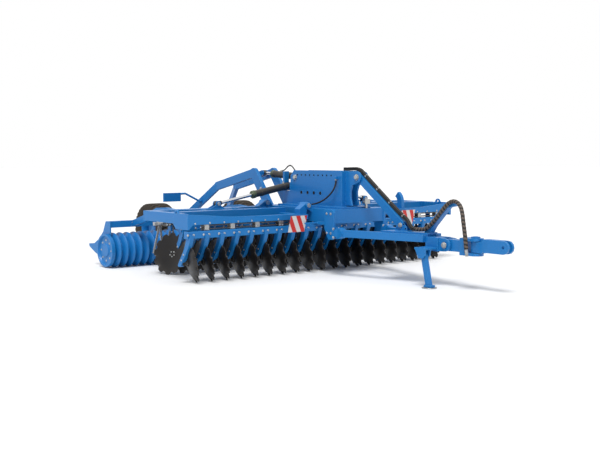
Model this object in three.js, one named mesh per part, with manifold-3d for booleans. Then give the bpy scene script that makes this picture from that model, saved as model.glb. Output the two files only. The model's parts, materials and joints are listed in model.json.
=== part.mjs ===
// A trailed compact disc harrow with two folding wings, rear transport wheels and ring rollers.
// Millimetres. +X points to the tractor, +Y to the machine's left and +Z up.
// Inside the group, x = 0 is the line of the front row's discs and z = 0 is the ground.

import * as THREE from 'three';
import { mergeVertices } from 'three/addons/utils/BufferGeometryUtils.js';
import Module from 'manifold-3d';

const wasm = await Module();
wasm.setup();

// ---------------------------------------------------------------- shared clearances

const SEAT = 0.3; // between pieces that touch
const RUNNING = 6; // between pieces that move past each other
const WELD = 10; // how deep welded plates reach into each other
const PAST = 5; // how far a cutting shape reaches past the face that it cuts
const LEFT = 1;
const RIGHT = -1;

// ---------------------------------------------------------------- discs and their rows

const DISC_PITCH = 250;
const DISC_RADIUS = 310;
const DISC_THICKNESS = 6;
const DISH_DEPTH = 60;
const DISC_CUT_ANGLE = THREE.MathUtils.degToRad(18); // from the travel direction
const DISC_UNDERCUT = THREE.MathUtils.degToRad(13); // from upright
const DISC_HUB_RADIUS = 55;
const DISC_HUB_LENGTH = 78;
const DISC_HEIGHT = DISC_RADIUS * Math.cos(DISC_UNDERCUT) + DISC_THICKNESS * Math.sin(DISC_UNDERCUT);
const ROW_SPACING = 1000;
const FRONT_DISCS_PER_WING = 10;
const REAR_DISCS_LEFT = 10;
const REAR_DISCS_RIGHT = 9;

const ARM_OFFSET = 195; // sideways, from its disc's lowest point to the convex side
const ARM_WIDTH = 60;
const ARM_DEPTH_TOP = 100;
const ARM_DEPTH_FOOT = 75;
const ARM_FOOT_X = -90; // from the disc's lowest point
const ARM_FOOT_Z = 245;
const ARM_FOOT_ROUND = 20;
const ARM_TOP_AHEAD = 30; // of the rail's centre
const RAIL_X = 110; // the rail's centre, ahead of its discs
const RAIL_SIZE = 100;
const RAIL_BOTTOM = 620;
const RAIL_TOP = RAIL_BOTTOM + RAIL_SIZE;
const RAIL_OVERHANG = 15; // past the outermost arms

// ---------------------------------------------------------------- centre frame

const HINGE_Y = 500;
const HINGE_Z = 1000;
const HINGE_EYE_RADIUS = 48;
const HINGE_EYE_LENGTH = 120;
const HINGE_PIN_RADIUS = 24;
const HINGE_LUG_THICKNESS = 25;
const FRAME_BOTTOM = 760;
const FRAME_TOP = 960;
const LONGERON_INNER = 250;
const LONGERON_OUTER = 440;
const FRAME_FRONT_X = 700;
const FRONT_CROSS_DEPTH = 190;
const FRAME_REAR_X = -1260;
const CROSS_DEPTH = 140;
const MIDDLE_CROSS_X = -300;
const SWING_PIN_ROOM = 25; // between the swing arms' eyes and the cross beam ahead of them
const SIDE_PLATE_THICKNESS = 36;
const SIDE_PLATE_Y = 482;
const SIDE_PLATE_BOTTOM = 530;
const SIDE_PLATE_CHAMFER = 40;

// ---------------------------------------------------------------- wings

const WING_BEAM_BOTTOM = 810;
const WING_BEAM_TOP = 950;
const FRONT_BEAM_TOP = 875;
const WING_BEAM_DEPTH = 200;
const WING_FRONT_X = 50; // the front beam's centre
const WING_REAR_X = WING_FRONT_X - ROW_SPACING;
const WING_MID_X = -450;
const WING_MID_DEPTH = 150;
const WING_ROOT_Y = 532;
const WING_SIDE_WIDTH = 120;
const WING_END_Y = 2600;
const END_PLATE_THICKNESS = 20;
const END_PLATE_BOTTOM = 740;
const END_PLATE_TAIL = 150; // behind the front beam
const END_PLATE_CHAMFER = 60;
const LIFTING_EYE = { radius: 20, lug: 55, rise: 12 };
const FACE_PLATE_THICKNESS = 14;
const HANGER_THICKNESS = 30;
const HANGER_DEPTH = 80;
const HANGER_Y = [700, 1250, 1800, 2200];

// ---------------------------------------------------------------- fold cylinders

const FOLD_X = -800; // the plane in which both cylinders lie
const FOLD_BARREL_Y = 120;
const FOLD_BARREL_Z = 1270;
const FOLD_EYE_Y = 1500;
const FOLD_EYE_Z = 1020;
const FOLD_BRACKET = { inner: 110, outer: 150 }; // along the wing, from the eye
const FOLD_SHELF = { inner: 400, outer: 280, bottom: 830 };
const CYLINDER_EYE_RADIUS = 45;
const CYLINDER_PIN_RADIUS = 20;
const BARREL_RADIUS = 55;
const ROD_RADIUS = 25;
const FOLD_BARREL_END = 755; // from the barrel's pin
const FOLD_ROD_START = 678;
const BORE_START = 80;
const BARREL_FOOT = 30;
const GLAND = { length: 60, lip: 7 };
const PORT_ROOT = 12; // into the barrel
const EYE_WIDTH = 50;
const LUG_THICKNESS = 18;

// ---------------------------------------------------------------- tower

const TOWER_PLATE_Y = 140;
const TOWER_PLATE_THICKNESS = 20;
const TOWER_FLOOR_Y = 300;
const TOWER_REAR_X = -720;
const TOWER_COLUMN_X = 360;
const TOWER_COLUMN_DEPTH = 130;
const TOWER_TOP = 1510;
const TOWER_CHAMFER = 85;
const TOWER_FLOOR_THICKNESS = 24;
const TOWER_ROOF_X = 100;
const TOWER_ROOF_DEPTH = 24;
const PIN_PLATE_THICKNESS = 40;
const PIN_PLATE_TOP = 1490;
const SHELF_TOP = 1187; // behind the tower, below the fold cylinders
const EAR_THICKNESS = 30;
const EAR_PIN_X = 720;
const EAR_PIN_Z = 1420;
const EAR_RADIUS = 85;
const EAR_WAIST = 95; // ahead of the column, half way up
const EAR_FLARE = 35; // past the waist, above and below it
const EAR_FOOT = 1000;
const EAR_WAIST_FROM = 1110;
const EAR_WAIST_TO = 1210;
const BRACE_WIDTH = 100;
const BRACE_DEPTH = 112;
const BRACE_FOOT_X = 1600;
const BRACE_FOOT_Z = 770;

// ---------------------------------------------------------------- drawbar and hitch

const DRAWBAR_SECTION = 100;
const DRAWBAR_Z = 630; // the beams' centre line
const DRAWBAR_ROOT_X = 745;
const DRAWBAR_ROOT_Y = 500;
const ROOT_FLANGE_THICKNESS = 30;
const ROOT_FLANGE_HALF = { width: 65, height: 85 };
const KNUCKLE = { ahead: 70, inward: 20, radius: 80 };
const NOSE_REAR_X = 2130;
const NOSE_FRONT_X = 2350;
const NOSE_HALF_WIDTH = 130;
const NOSE_BOTTOM = 470;
const NOSE_TOP = 650;
const DRAWBAR_NOSE_Y = 105;
const GUSSET_THICKNESS = 20;
const GUSSET_REAR_X = 1450;
const CHEEK = { rear: 110, front: 120, low: 40, high: 110, slope: 50 }; // beside the brace's foot
const HITCH_PIN_X = 2450;
const HITCH_PIN_Z = 560;
const HITCH_PIN_RADIUS = 30;
const HITCH_LUG_RADIUS = 85;
const HITCH_LUG_INNER = 70;
const HITCH_LUG_THICKNESS = 30;
const HITCH_NECK_HALF_HEIGHT = 75;
const PIN_END = 20; // how far a pin stands out of its lugs
const HEAD_REAR_X = 2700;
const HEAD_PLATE_THICKNESS = 35;
const SWIVEL_X = 2880;
const TOW_ARM_START = 3000;
const HEAD_HALF_WIDTH = 105;
const HEAD_BOTTOM = 450;
const HEAD_TOP = 675;
const TOW_ARM_Z = 590;
const TOW_ARM_HALF_WIDTH = 60;
const TOW_ARM_HALF_HEIGHT = 85;
const TOW_HOLE_X = 3360;
const TOW_HOLE_RADIUS = 22;
const TOW_SLOT_HALF_WIDTH = 28;
const TOW_SLOT_DEPTH = 120;

// ---------------------------------------------------------------- parking stand and hose post

const STAND_PIN_X = 2270;
const STAND_PIN_Z = 425;
const STAND_PIN_RADIUS = 15;
const STAND_Y = -300;
const STAND_LEG_WIDTH = 60;
const STAND_LEG_DEPTH = 72;
const STAND_FOOT_X = 2365;
const STAND_FOOT_RADIUS = 100;
const STAND_FOOT_THICKNESS = 12;
const STAND_CHEEK_THICKNESS = 18;
const STAND_ROOF_BOTTOM = 500;
const STAND_ROOF_TOP = 525;
const STAND_CHEEK = { rear: 130, front: 70, slope: 60, below: 40 };
const STAND_EYE_RADIUS = 38;
const SHOE = { half: 60, side: 15, height: 30 };
const POST_HALF_WIDTH = 45;
// The hose post's edge above its foot, from the front of the foot round to its back.
const POST_EDGE = [
  [2190, 790],
  [2440, 1050],
  [2560, 1075],
  [2590, 1105],
  [2530, 1130],
  [2400, 1120],
  [2100, 820],
];
const POST_FOOT_X = [2030, 2130];
const VALVE = { x: 660, y: 170, bottom: 1025, width: 100, height: 70 };

// ---------------------------------------------------------------- undercarriage

const SWING_PIN_X = -1170;
const SWING_PIN_Z = 860;
const SWING_PIN_RADIUS = 30;
const SWING_EYE_RADIUS = 75;
const SWING_ARM_Y = 200;
const SWING_ARM_WIDTH = 60;
const SWING_APEX_X = -1620;
const SWING_APEX_Z = 1455;
const SWING_KNEE_X = -2690;
const SWING_KNEE_Z = 1215;
const SWING_FRONT_DEPTH = 165;
const SWING_REAR_DEPTH = 140;
const SWING_LEG_DEPTH = 120;
const AXLE_X = -3600;
const AXLE_SECTION = 120;
const AXLE_LEG_Y = 520;
const AXLE_HALF_LENGTH = 640;
const STUB_RADIUS = 36;
const CROSSHEAD_RADIUS = 48;
const CROSSHEAD_OFFSET = 112; // behind the cylinder's pin
const CROSSHEAD_DROP = 25;
const LIFT_BARREL_X = -600;
const LIFT_BARREL_Z = 1400;
const LIFT_BARREL_END = 790;
const LIFT_ROD_START = 590;
const PORT_FOOT = 110; // along the barrel, from its pin
const PORT_HEAD = 560;
const PORT_TOP = 80; // from the barrel's centre line
const PORT_SIZE = 36;

// ---------------------------------------------------------------- transport wheels

const WHEEL_RADIUS = 450;
const WHEEL_Y = 900;
const TYRE_WIDTH = 390;
const TYRE_SHOULDER = 45;
const TYRE_SIDEWALL = 80; // where the wall is widest, out from the bead
const TYRE_BEAD_INSET = 40;
const RIM_RADIUS = 250;
const RIM_WALL = 22;
const RIM_WIDTH = 320;
const WHEEL_HUB_RADIUS = 90;
const WHEEL_HUB_LENGTH = 150;
const WHEEL_WEB = 36;

// ---------------------------------------------------------------- ring rollers

const ROLLER_X = -2320;
const ROLLER_RADIUS = 270;
const ROLLER_CORE_RADIUS = 185;
const ROLLER_SHAFT_RADIUS = 42;
const RING_PITCH = 121;
const RING_COUNT = 20;
const ROLLER_PLATE_THICKNESS = 20;
const ROLLER_INNER_Y = 40; // the inner plate's inner face
const END_DRUM_WIDTH = 56;
const END_DRUM_RADIUS = 256;
const END_DRUM_RECESS = 32;
const END_DRUM_RIM = 35;
const ROLLER_BEARING_RADIUS = 85;
const ROLLER_PLATE_HALF_TOP = 70;
// The guard fin on the outer plate: points from the roller's axis, backwards and up from the ground.
const FIN = [
  [240, 150],
  [440, 200],
  [640, 285],
  [650, 330],
  [460, 350],
  [300, 430],
  [160, 550],
];
const ROLLER_BEAM_SIZE = 100;
const ROLLER_BEAM_BOTTOM = 620;
const ROLLER_ARM_WIDTH = 60;
const ROLLER_ARM_Y = [770, 2080];
// A roller arm's upper and lower edges: points backwards from the rear beam and up from the ground.
const ARM_UPPER_EDGE = [
  [0, 815],
  [0, 950],
  [220, 965],
  [480, 950],
  [720, 860],
];
const ARM_LOWER_EDGE = [
  [820, 720],
  [600, 820],
  [300, 850],
];

// ---------------------------------------------------------------- tine rows, springs and boards

const TINE_X = -1450;
const TINE_TUBE_SIZE = 50;
const TINE_TUBE_BOTTOM = 690;
const TINE_WIDTH = 32;
const TINE_THICKNESS = 10;
const TINE_FOOT_Z = 265;
const TINE_LEAN = 60; // the feet trail behind the tube
const TINE_SPREAD = 78;
const TINE_ROOT_SPREAD = 8;
const TINE_COUNT = 10;
const TINE_ROW_START_Y = 100;
const TINE_ROW_END_Y = 2200;
const TINE_BRACKET_Y = [1300, 2120];
const TINE_BRACKET_LEDGE = 90;
const SPRING_COUNT = 4;
const SPRING_DEPTH = 74;
const SPRING_LEAF = 14;
const SPRING_INSET = { inner: 60, outer: 300 }; // from the wing's root and end
const CLAMP_HALF_WIDTH = 40;
const BOARD_X = 330;
const BOARD_SIZE = { width: 300, height: 240, thickness: 8 };
const BOARD_CENTRE_Z = 755;
const BOARD_LEFT_Y = 1380;
const BOARD_RIGHT_Y = 870;
const BOARD_LEAN = 70; // the top edge stands ahead of the bottom edge
const BOARD_ROD_RADIUS = 14;
const BOARD_BRACKET_HALF = { width: 15, height: 20 };
const LAMP_BOARD = { x: -3050, y: 740, z: 1025, width: 340, height: 150, thickness: 30 };
const LAMP_ARM_RADIUS = 18;
const LAMP_ARM_SHARE = 0.36; // how far down the leg the arm stands
const HORN_Y = 1520;
const HORN = { halfFoot: 60, halfWidth: 30, behind: 150, rise: 110, outer: 200, inner: 105 };

// ---------------------------------------------------------------- hoses (routes chosen by hand)

const BUNDLE_RADIUS = 28;
const BUNDLE_ROUTE = [
  [1890, -74, 735],
  [1960, -74, 735],
  [2080, -74, 752],
  [2200, -74, 838],
  [2320, -74, 960],
  [2440, -74, 1080],
  [2510, -76, 1126],
  [2588, -92, 1141],
  [2671, -116, 1125],
  [2742, -140, 1075],
  [2786, -160, 1003],
  [2822, -178, 890],
  [2852, -189, 775],
  [2876, -195, 660],
  [2892, -197, 545],
];
const PLUG_RADIUS = 24;
const PLUG_LENGTH = 90;
const FEED_RADIUS = 26;
const ARCH_RADIUS = 10;
const ARCH_RISE = 95;
const ARCH_STUB = 12; // straight out of each port block
const ARCH_LINE = PORT_TOP - 12; // from the barrel's centre line
const ARCH_STEPS = 12;
const SAG_RADIUS = 12;
const SAG_ROUTE = [
  [400, -200, 1389],
  [400, -200, 1340],
  [389, -212, 1275],
  [355, -226, 1210],
  [300, -240, 1150],
  [220, -252, 1092],
  [120, -262, 1045],
  [10, -268, 1013],
  [-100, -270, 999],
  [-220, -270, 997],
  [-350, -270, 997],
];
const FITTING_SIZE = 40;

// ---------------------------------------------------------------- roundness

const ROUND = 12;
const SLIM_ROUND = 8; // pins, rods and posts
const WHEEL_SIDES = 20;
const ROLLER_SIDES = 12;
const HOSE_SIDES = 8;

// ---------------------------------------------------------------- finishes

const finish = (color, roughness, metalness) => () =>
  new THREE.MeshStandardMaterial({ color, roughness, metalness });
const bluePaint = finish(0x1c76c4, 0.42, 0.1);
const blackSteel = finish(0x17181b, 0.5, 0.8);
const springSteel = finish(0x6b6e70, 0.5, 0.7);
const chrome = finish(0xd8dade, 0.15, 1);
const cylinderGrey = finish(0x3a3d40, 0.45, 0.5);
const tyreRubber = finish(0x2b2825, 0.9, 0);
const hoseRubber = finish(0x191919, 0.7, 0);
const zincPlate = finish(0xc4c6c4, 0.4, 0.8);
const boardSheet = finish(0xe6e2dc, 0.5, 0);
const tineSteel = finish(0xb4b6b4, 0.35, 0.9);

// ---------------------------------------------------------------- solid modelling

const vector = (point) => new THREE.Vector3(...point);
const UNIT_X = new THREE.Vector3(1, 0, 0);
const UNIT_Y = new THREE.Vector3(0, 1, 0);
const UNIT_Z = new THREE.Vector3(0, 0, 1);
const DRAWING_PLANES = {
  xy: [UNIT_X, UNIT_Y, UNIT_Z],
  xz: [UNIT_X, UNIT_Z, UNIT_Y.clone().negate()],
  yz: [UNIT_Y, UNIT_Z, UNIT_X],
};

function solidFrom(geometry) {
  geometry.deleteAttribute('normal');
  geometry.deleteAttribute('uv');
  const merged = mergeVertices(geometry, 1e-4);
  return new wasm.Manifold(
    new wasm.Mesh({
      numProp: 3,
      vertProperties: merged.attributes.position.array,
      triVerts: new Uint32Array(merged.index.array),
    }),
  );
}

function geometryFrom(solid) {
  const { vertProperties, triVerts } = solid.getMesh();
  const geometry = new THREE.BufferGeometry();
  geometry.setAttribute('position', new THREE.BufferAttribute(vertProperties, 3));
  geometry.setIndex(new THREE.BufferAttribute(triVerts, 1));
  return geometry;
}

function join(...solids) {
  return solids.flat().reduce((whole, next) => whole.add(next));
}

function block([x0, x1], [y0, y1], [z0, z1]) {
  const geometry = new THREE.BoxGeometry(x1 - x0, y1 - y0, z1 - z0);
  geometry.translate((x0 + x1) / 2, (y0 + y1) / 2, (z0 + z1) / 2);
  return solidFrom(geometry);
}

// A round bar from one point to another.
function bar(from, to, radius, sides = ROUND) {
  const start = vector(from);
  const end = vector(to);
  const along = end.clone().sub(start);
  const geometry = new THREE.CylinderGeometry(radius, radius, along.length(), sides);
  geometry.applyQuaternion(new THREE.Quaternion().setFromUnitVectors(UNIT_Y, along.normalize()));
  geometry.translate(...start.add(end).multiplyScalar(0.5).toArray());
  return solidFrom(geometry);
}

// The hole round such a bar: its flat sides face the bar's corners, so the bar turns in it freely.
function bore(from, to, radius, sides = ROUND) {
  const halfStep = Math.PI / sides;
  const start = vector(from);
  const end = vector(to);
  const along = end.clone().sub(start);
  const outer = (radius + SEAT) / Math.cos(halfStep);
  const geometry = new THREE.CylinderGeometry(outer, outer, along.length(), sides, 1, false, halfStep);
  geometry.applyQuaternion(new THREE.Quaternion().setFromUnitVectors(UNIT_Y, along.normalize()));
  geometry.translate(...start.add(end).multiplyScalar(0.5).toArray());
  return solidFrom(geometry);
}

// A rectangular beam from one point to another: its width is square to the given normal, level by default.
function beam(from, to, width, depth, normal = UNIT_Z) {
  const start = vector(from);
  const end = vector(to);
  const along = end.clone().sub(start);
  const length = along.length();
  along.normalize();
  const across = normal.clone().cross(along).normalize();
  const geometry = new THREE.BoxGeometry(length, width, depth);
  geometry.applyMatrix4(new THREE.Matrix4().makeBasis(along, across, along.clone().cross(across)));
  geometry.translate(...start.add(end).multiplyScalar(0.5).toArray());
  return solidFrom(geometry);
}

// A flat plate: its outline lies in the named plane, and it is thick from low to high.
function plate(plane, outline, [low, high]) {
  const points = outline.map(([u, v]) => new THREE.Vector2(u, v));
  const depth = high - low;
  const geometry = new THREE.ExtrudeGeometry(new THREE.Shape(points), { depth, bevelEnabled: false });
  geometry.translate(0, 0, plane === 'xz' ? -high : low);
  geometry.applyMatrix4(new THREE.Matrix4().makeBasis(...DRAWING_PLANES[plane]));
  return solidFrom(geometry);
}

// Points of an arc, as outline points, from one angle to another in degrees.
function arc([u, v], radius, fromDegrees, toDegrees, steps) {
  return Array.from({ length: steps + 1 }, (_, i) => {
    const angle = THREE.MathUtils.degToRad(fromDegrees + ((toDegrees - fromDegrees) * i) / steps);
    return [u + radius * Math.cos(angle), v + radius * Math.sin(angle)];
  });
}

// A profile of [radius, height] points turned about an axis through a point, a corner at its lowest side.
function turned(profile, origin, axis, sides) {
  const points = profile.map(([radius, height]) => new THREE.Vector2(radius, height));
  const geometry = new THREE.LatheGeometry(points, sides);
  const down = UNIT_Z.clone().negate().addScaledVector(axis, axis.z).normalize();
  geometry.applyMatrix4(new THREE.Matrix4().makeBasis(axis.clone().cross(down), axis, down));
  geometry.translate(...origin);
  return solidFrom(geometry);
}

function hose(route, radius, steps) {
  const section = new THREE.Shape(
    arc([0, 0], radius, 0, 360 - 360 / HOSE_SIDES, HOSE_SIDES - 1).map(([u, v]) => new THREE.Vector2(u, v)),
  );
  const extrudePath = new THREE.CatmullRomCurve3(route.map(vector));
  return solidFrom(new THREE.ExtrudeGeometry(section, { steps, extrudePath, bevelEnabled: false }));
}

function addNode(parent, name, solid, material) {
  const mesh = new THREE.Mesh(geometryFrom(solid), material());
  mesh.name = name;
  parent.add(mesh);
}

// A mirrored pair of spans on both sides of the centre plane.
const bothSides = (build) => [build(LEFT), build(RIGHT)];
const span = (side, a, b) => (side === LEFT ? [a, b] : [-b, -a]);

// ---------------------------------------------------------------- centre frame

function centreHingeLugs(side) {
  const y = side * HINGE_Y;
  const halfEye = HINGE_EYE_LENGTH / 2;
  return [WING_FRONT_X, WING_REAR_X].flatMap((x) => {
    const lugs = [-1, 1].map((end) => {
      const near = halfEye + RUNNING;
      const [low, high] = span(end, near, near + HINGE_LUG_THICKNESS);
      const round = arc([HINGE_Y, HINGE_Z], HINGE_EYE_RADIUS, -60, 150, 6);
      const root = LONGERON_OUTER - 4 * WELD;
      const outline = [...round, [root, FRAME_TOP - WELD], [root, FRAME_TOP - 9 * WELD]];
      const placed = outline.map(([u, v]) => [side * u, v]);
      return plate('yz', placed, [x + low, x + high]);
    });
    const reach = halfEye + RUNNING + HINGE_LUG_THICKNESS;
    return [...lugs, bar([x - reach, y, HINGE_Z], [x + reach, y, HINGE_Z], HINGE_PIN_RADIUS, SLIM_ROUND)];
  });
}

function centreSidePlate(side) {
  const rear = FRAME_FRONT_X - FRONT_CROSS_DEPTH;
  const front = DRAWBAR_ROOT_X - ROOT_FLANGE_THICKNESS - SEAT;
  const outline = [
    [rear, FRAME_TOP],
    [rear, SIDE_PLATE_BOTTOM + 4 * SIDE_PLATE_CHAMFER],
    [rear + 2 * SIDE_PLATE_CHAMFER, SIDE_PLATE_BOTTOM],
    [front - SIDE_PLATE_CHAMFER, SIDE_PLATE_BOTTOM],
    [front, SIDE_PLATE_BOTTOM + SIDE_PLATE_CHAMFER],
    [front, FRAME_TOP - SIDE_PLATE_CHAMFER],
    [front - SIDE_PLATE_CHAMFER, FRAME_TOP],
  ];
  return plate('xz', outline, span(side, SIDE_PLATE_Y, SIDE_PLATE_Y + SIDE_PLATE_THICKNESS));
}

function centreFrame() {
  const height = [FRAME_BOTTOM, FRAME_TOP];
  const crossFront = FRAME_FRONT_X - FRONT_CROSS_DEPTH;
  const crossAt = [MIDDLE_CROSS_X, SWING_PIN_X + SWING_EYE_RADIUS + CROSS_DEPTH / 2 + SWING_PIN_ROOM];
  return join(
    block([crossFront, FRAME_FRONT_X], [-SIDE_PLATE_Y, SIDE_PLATE_Y], height),
    bothSides((side) => block([FRAME_REAR_X, crossFront], span(side, LONGERON_INNER, LONGERON_OUTER), height)),
    crossAt.map((x) =>
      block([x - CROSS_DEPTH / 2, x + CROSS_DEPTH / 2], [-LONGERON_INNER, LONGERON_INNER], height),
    ),
    bothSides(centreSidePlate),
    bothSides(centreHingeLugs).flat(),
    bar([SWING_PIN_X, -LONGERON_INNER, SWING_PIN_Z], [SWING_PIN_X, LONGERON_INNER, SWING_PIN_Z], SWING_PIN_RADIUS),
  );
}

// ---------------------------------------------------------------- tower and brace

function towerSidePlate(side) {
  const bottom = FRAME_TOP + SEAT;
  const shelfRear = FOLD_X - HINGE_EYE_LENGTH / 2 - RUNNING - PIN_PLATE_THICKNESS;
  const outline = [
    [shelfRear, bottom],
    [TOWER_COLUMN_X + WELD, bottom],
    [TOWER_COLUMN_X + WELD, TOWER_TOP],
    [TOWER_REAR_X + TOWER_CHAMFER, TOWER_TOP],
    [TOWER_REAR_X, TOWER_TOP - TOWER_CHAMFER],
    [TOWER_REAR_X, SHELF_TOP],
    [shelfRear, SHELF_TOP],
  ];
  return plate('xz', outline, span(side, TOWER_PLATE_Y, TOWER_PLATE_Y + TOWER_PLATE_THICKNESS));
}

function towerEar(side) {
  const inner = BRACE_WIDTH / 2 + SEAT;
  const front = TOWER_COLUMN_X + TOWER_COLUMN_DEPTH;
  const root = front - WELD;
  const outline = [
    [root, EAR_FOOT],
    [front + EAR_WAIST + EAR_FLARE, EAR_FOOT],
    [front + EAR_WAIST, EAR_WAIST_FROM],
    [front + EAR_WAIST, EAR_WAIST_TO],
    [front + EAR_WAIST + EAR_FLARE, EAR_PIN_Z - EAR_RADIUS - EAR_FLARE],
    ...arc([EAR_PIN_X, EAR_PIN_Z], EAR_RADIUS, -90, 90, 6),
    [root, EAR_PIN_Z + EAR_RADIUS],
  ];
  return plate('xz', outline, span(side, inner, inner + EAR_THICKNESS));
}

// The plate across the tower's rear edge, in front of the fold cylinders' eyes.
function foldEyeGuard() {
  const rear = FOLD_X + HINGE_EYE_LENGTH / 2 + RUNNING;
  const halfWidth = FOLD_BARREL_Y + CYLINDER_EYE_RADIUS;
  const height = [FOLD_BARREL_Z - 2 * CYLINDER_EYE_RADIUS, FOLD_BARREL_Z + CYLINDER_EYE_RADIUS];
  return block([rear, rear + LUG_THICKNESS], [-halfWidth, halfWidth], height);
}

// The pin on which a fold cylinder swings, between that plate and the one behind it.
function foldPin(side) {
  const reach = HINGE_EYE_LENGTH / 2 + RUNNING - SEAT;
  const y = side * FOLD_BARREL_Y;
  return bar([FOLD_X - reach, y, FOLD_BARREL_Z], [FOLD_X + reach, y, FOLD_BARREL_Z], CYLINDER_PIN_RADIUS, SLIM_ROUND);
}

// The plate behind the pins stands on the tower's shelf, with a horn on each side of the lift cylinder.
function foldPinPlate() {
  const front = FOLD_X - HINGE_EYE_LENGTH / 2 - RUNNING;
  const outer = FOLD_BARREL_Y + CYLINDER_EYE_RADIUS;
  const inner = BARREL_RADIUS + 3 * RUNNING;
  const saddle = FOLD_BARREL_Z + CYLINDER_EYE_RADIUS;
  return plate('yz', [
    [-outer, SHELF_TOP + SEAT],
    [outer, SHELF_TOP + SEAT],
    [outer, PIN_PLATE_TOP],
    [inner, PIN_PLATE_TOP],
    [inner, saddle],
    [-inner, saddle],
    [-inner, PIN_PLATE_TOP],
    [-outer, PIN_PLATE_TOP],
  ], [front - PIN_PLATE_THICKNESS, front]);
}

// Port blocks in which the side hose begins and ends.
function hoseFittings() {
  const half = FITTING_SIZE / 2;
  const [topX, topY, topZ] = SAG_ROUTE[0];
  const [endX, endY, endZ] = SAG_ROUTE[SAG_ROUTE.length - 1];
  const plateFace = -(TOWER_PLATE_Y + TOWER_PLATE_THICKNESS);
  return [
    block([topX - half, topX + half], [topY - half, plateFace + 5], [topZ + SEAT, topZ + SEAT + FITTING_SIZE]),
    block([endX - SEAT - FITTING_SIZE, endX - SEAT], [endY - half, endY + half], [FRAME_TOP + 10, endZ + half]),
  ];
}

function tower() {
  const bottom = FRAME_TOP + SEAT;
  const halfWidth = TOWER_PLATE_Y + TOWER_PLATE_THICKNESS;
  const front = TOWER_COLUMN_X + TOWER_COLUMN_DEPTH;
  const floor = block(
    [FOLD_X - HINGE_EYE_LENGTH / 2, front + TOWER_COLUMN_DEPTH],
    [-TOWER_FLOOR_Y, TOWER_FLOOR_Y],
    [bottom, bottom + TOWER_FLOOR_THICKNESS],
  );
  const column = block([TOWER_COLUMN_X, front], [-halfWidth, halfWidth], [bottom, TOWER_TOP]);
  const inside = halfWidth - TOWER_PLATE_THICKNESS / 2;
  const roofTop = TOWER_TOP - RUNNING;
  const roof = block([TOWER_ROOF_X, front], [-inside, inside], [roofTop - TOWER_ROOF_DEPTH, roofTop]);
  const liftPin = bar(
    [LIFT_BARREL_X, -inside, LIFT_BARREL_Z],
    [LIFT_BARREL_X, inside, LIFT_BARREL_Z],
    CYLINDER_PIN_RADIUS,
    SLIM_ROUND,
  );
  return join(floor, column, roof, liftPin, bothSides(towerSidePlate), bothSides(towerEar), foldEyeGuard(), hoseFittings());
}

function drawbarBrace() {
  return beam([EAR_PIN_X, 0, EAR_PIN_Z], [BRACE_FOOT_X, 0, BRACE_FOOT_Z], BRACE_WIDTH, BRACE_DEPTH);
}

// ---------------------------------------------------------------- drawbar, hitch, stand and post

function drawbarBeam(side) {
  const half = DRAWBAR_SECTION / 2;
  const root = [DRAWBAR_ROOT_X - ROOT_FLANGE_THICKNESS / 2, side * DRAWBAR_ROOT_Y, DRAWBAR_Z];
  const nose = [NOSE_REAR_X + DRAWBAR_SECTION, side * DRAWBAR_NOSE_Y, DRAWBAR_Z];
  const flange = block(
    [DRAWBAR_ROOT_X - ROOT_FLANGE_THICKNESS, DRAWBAR_ROOT_X],
    span(side, DRAWBAR_ROOT_Y - ROOT_FLANGE_HALF.width, DRAWBAR_ROOT_Y + ROOT_FLANGE_HALF.width),
    [DRAWBAR_Z - ROOT_FLANGE_HALF.height, DRAWBAR_Z + ROOT_FLANGE_HALF.height],
  );
  const width = [-DRAWBAR_ROOT_Y, DRAWBAR_ROOT_Y];
  const beyondNose = block([NOSE_REAR_X - SEAT, HITCH_PIN_X], width, [0, 2 * DRAWBAR_Z]);
  const knuckleX = DRAWBAR_ROOT_X + KNUCKLE.ahead;
  const knuckleY = DRAWBAR_ROOT_Y - KNUCKLE.inward;
  const knuckle = bar(
    [knuckleX, side * (knuckleY - half), DRAWBAR_Z],
    [knuckleX, side * (knuckleY + half), DRAWBAR_Z],
    KNUCKLE.radius,
  );
  return join(beam(root, nose, DRAWBAR_SECTION, DRAWBAR_SECTION), flange, knuckle).subtract(beyondNose);
}

function drawbarHalfGap(x) {
  const share = (x - DRAWBAR_ROOT_X) / (NOSE_REAR_X - DRAWBAR_ROOT_X);
  return DRAWBAR_ROOT_Y + (DRAWBAR_NOSE_Y - DRAWBAR_ROOT_Y) * share;
}

function drawbarGusset() {
  const low = DRAWBAR_Z + DRAWBAR_SECTION / 2 + SEAT;
  const top = low + GUSSET_THICKNESS;
  const rear = drawbarHalfGap(GUSSET_REAR_X);
  const front = drawbarHalfGap(NOSE_REAR_X);
  const sheet = plate('xy', [
    [GUSSET_REAR_X, -rear],
    [NOSE_REAR_X, -front],
    [NOSE_REAR_X, front],
    [GUSSET_REAR_X, rear],
  ], [low, top]);
  const cheekOutline = [
    [BRACE_FOOT_X - CHEEK.rear, top - WELD / 2],
    [BRACE_FOOT_X + CHEEK.front, top - WELD / 2],
    [BRACE_FOOT_X + CHEEK.front, top + CHEEK.low],
    [BRACE_FOOT_X + CHEEK.slope, top + CHEEK.high],
    [BRACE_FOOT_X - CHEEK.slope, top + CHEEK.high],
  ];
  const inner = BRACE_WIDTH / 2 + SEAT;
  return join(sheet, bothSides((side) => plate('xz', cheekOutline, span(side, inner, inner + LUG_THICKNESS))));
}

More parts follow.
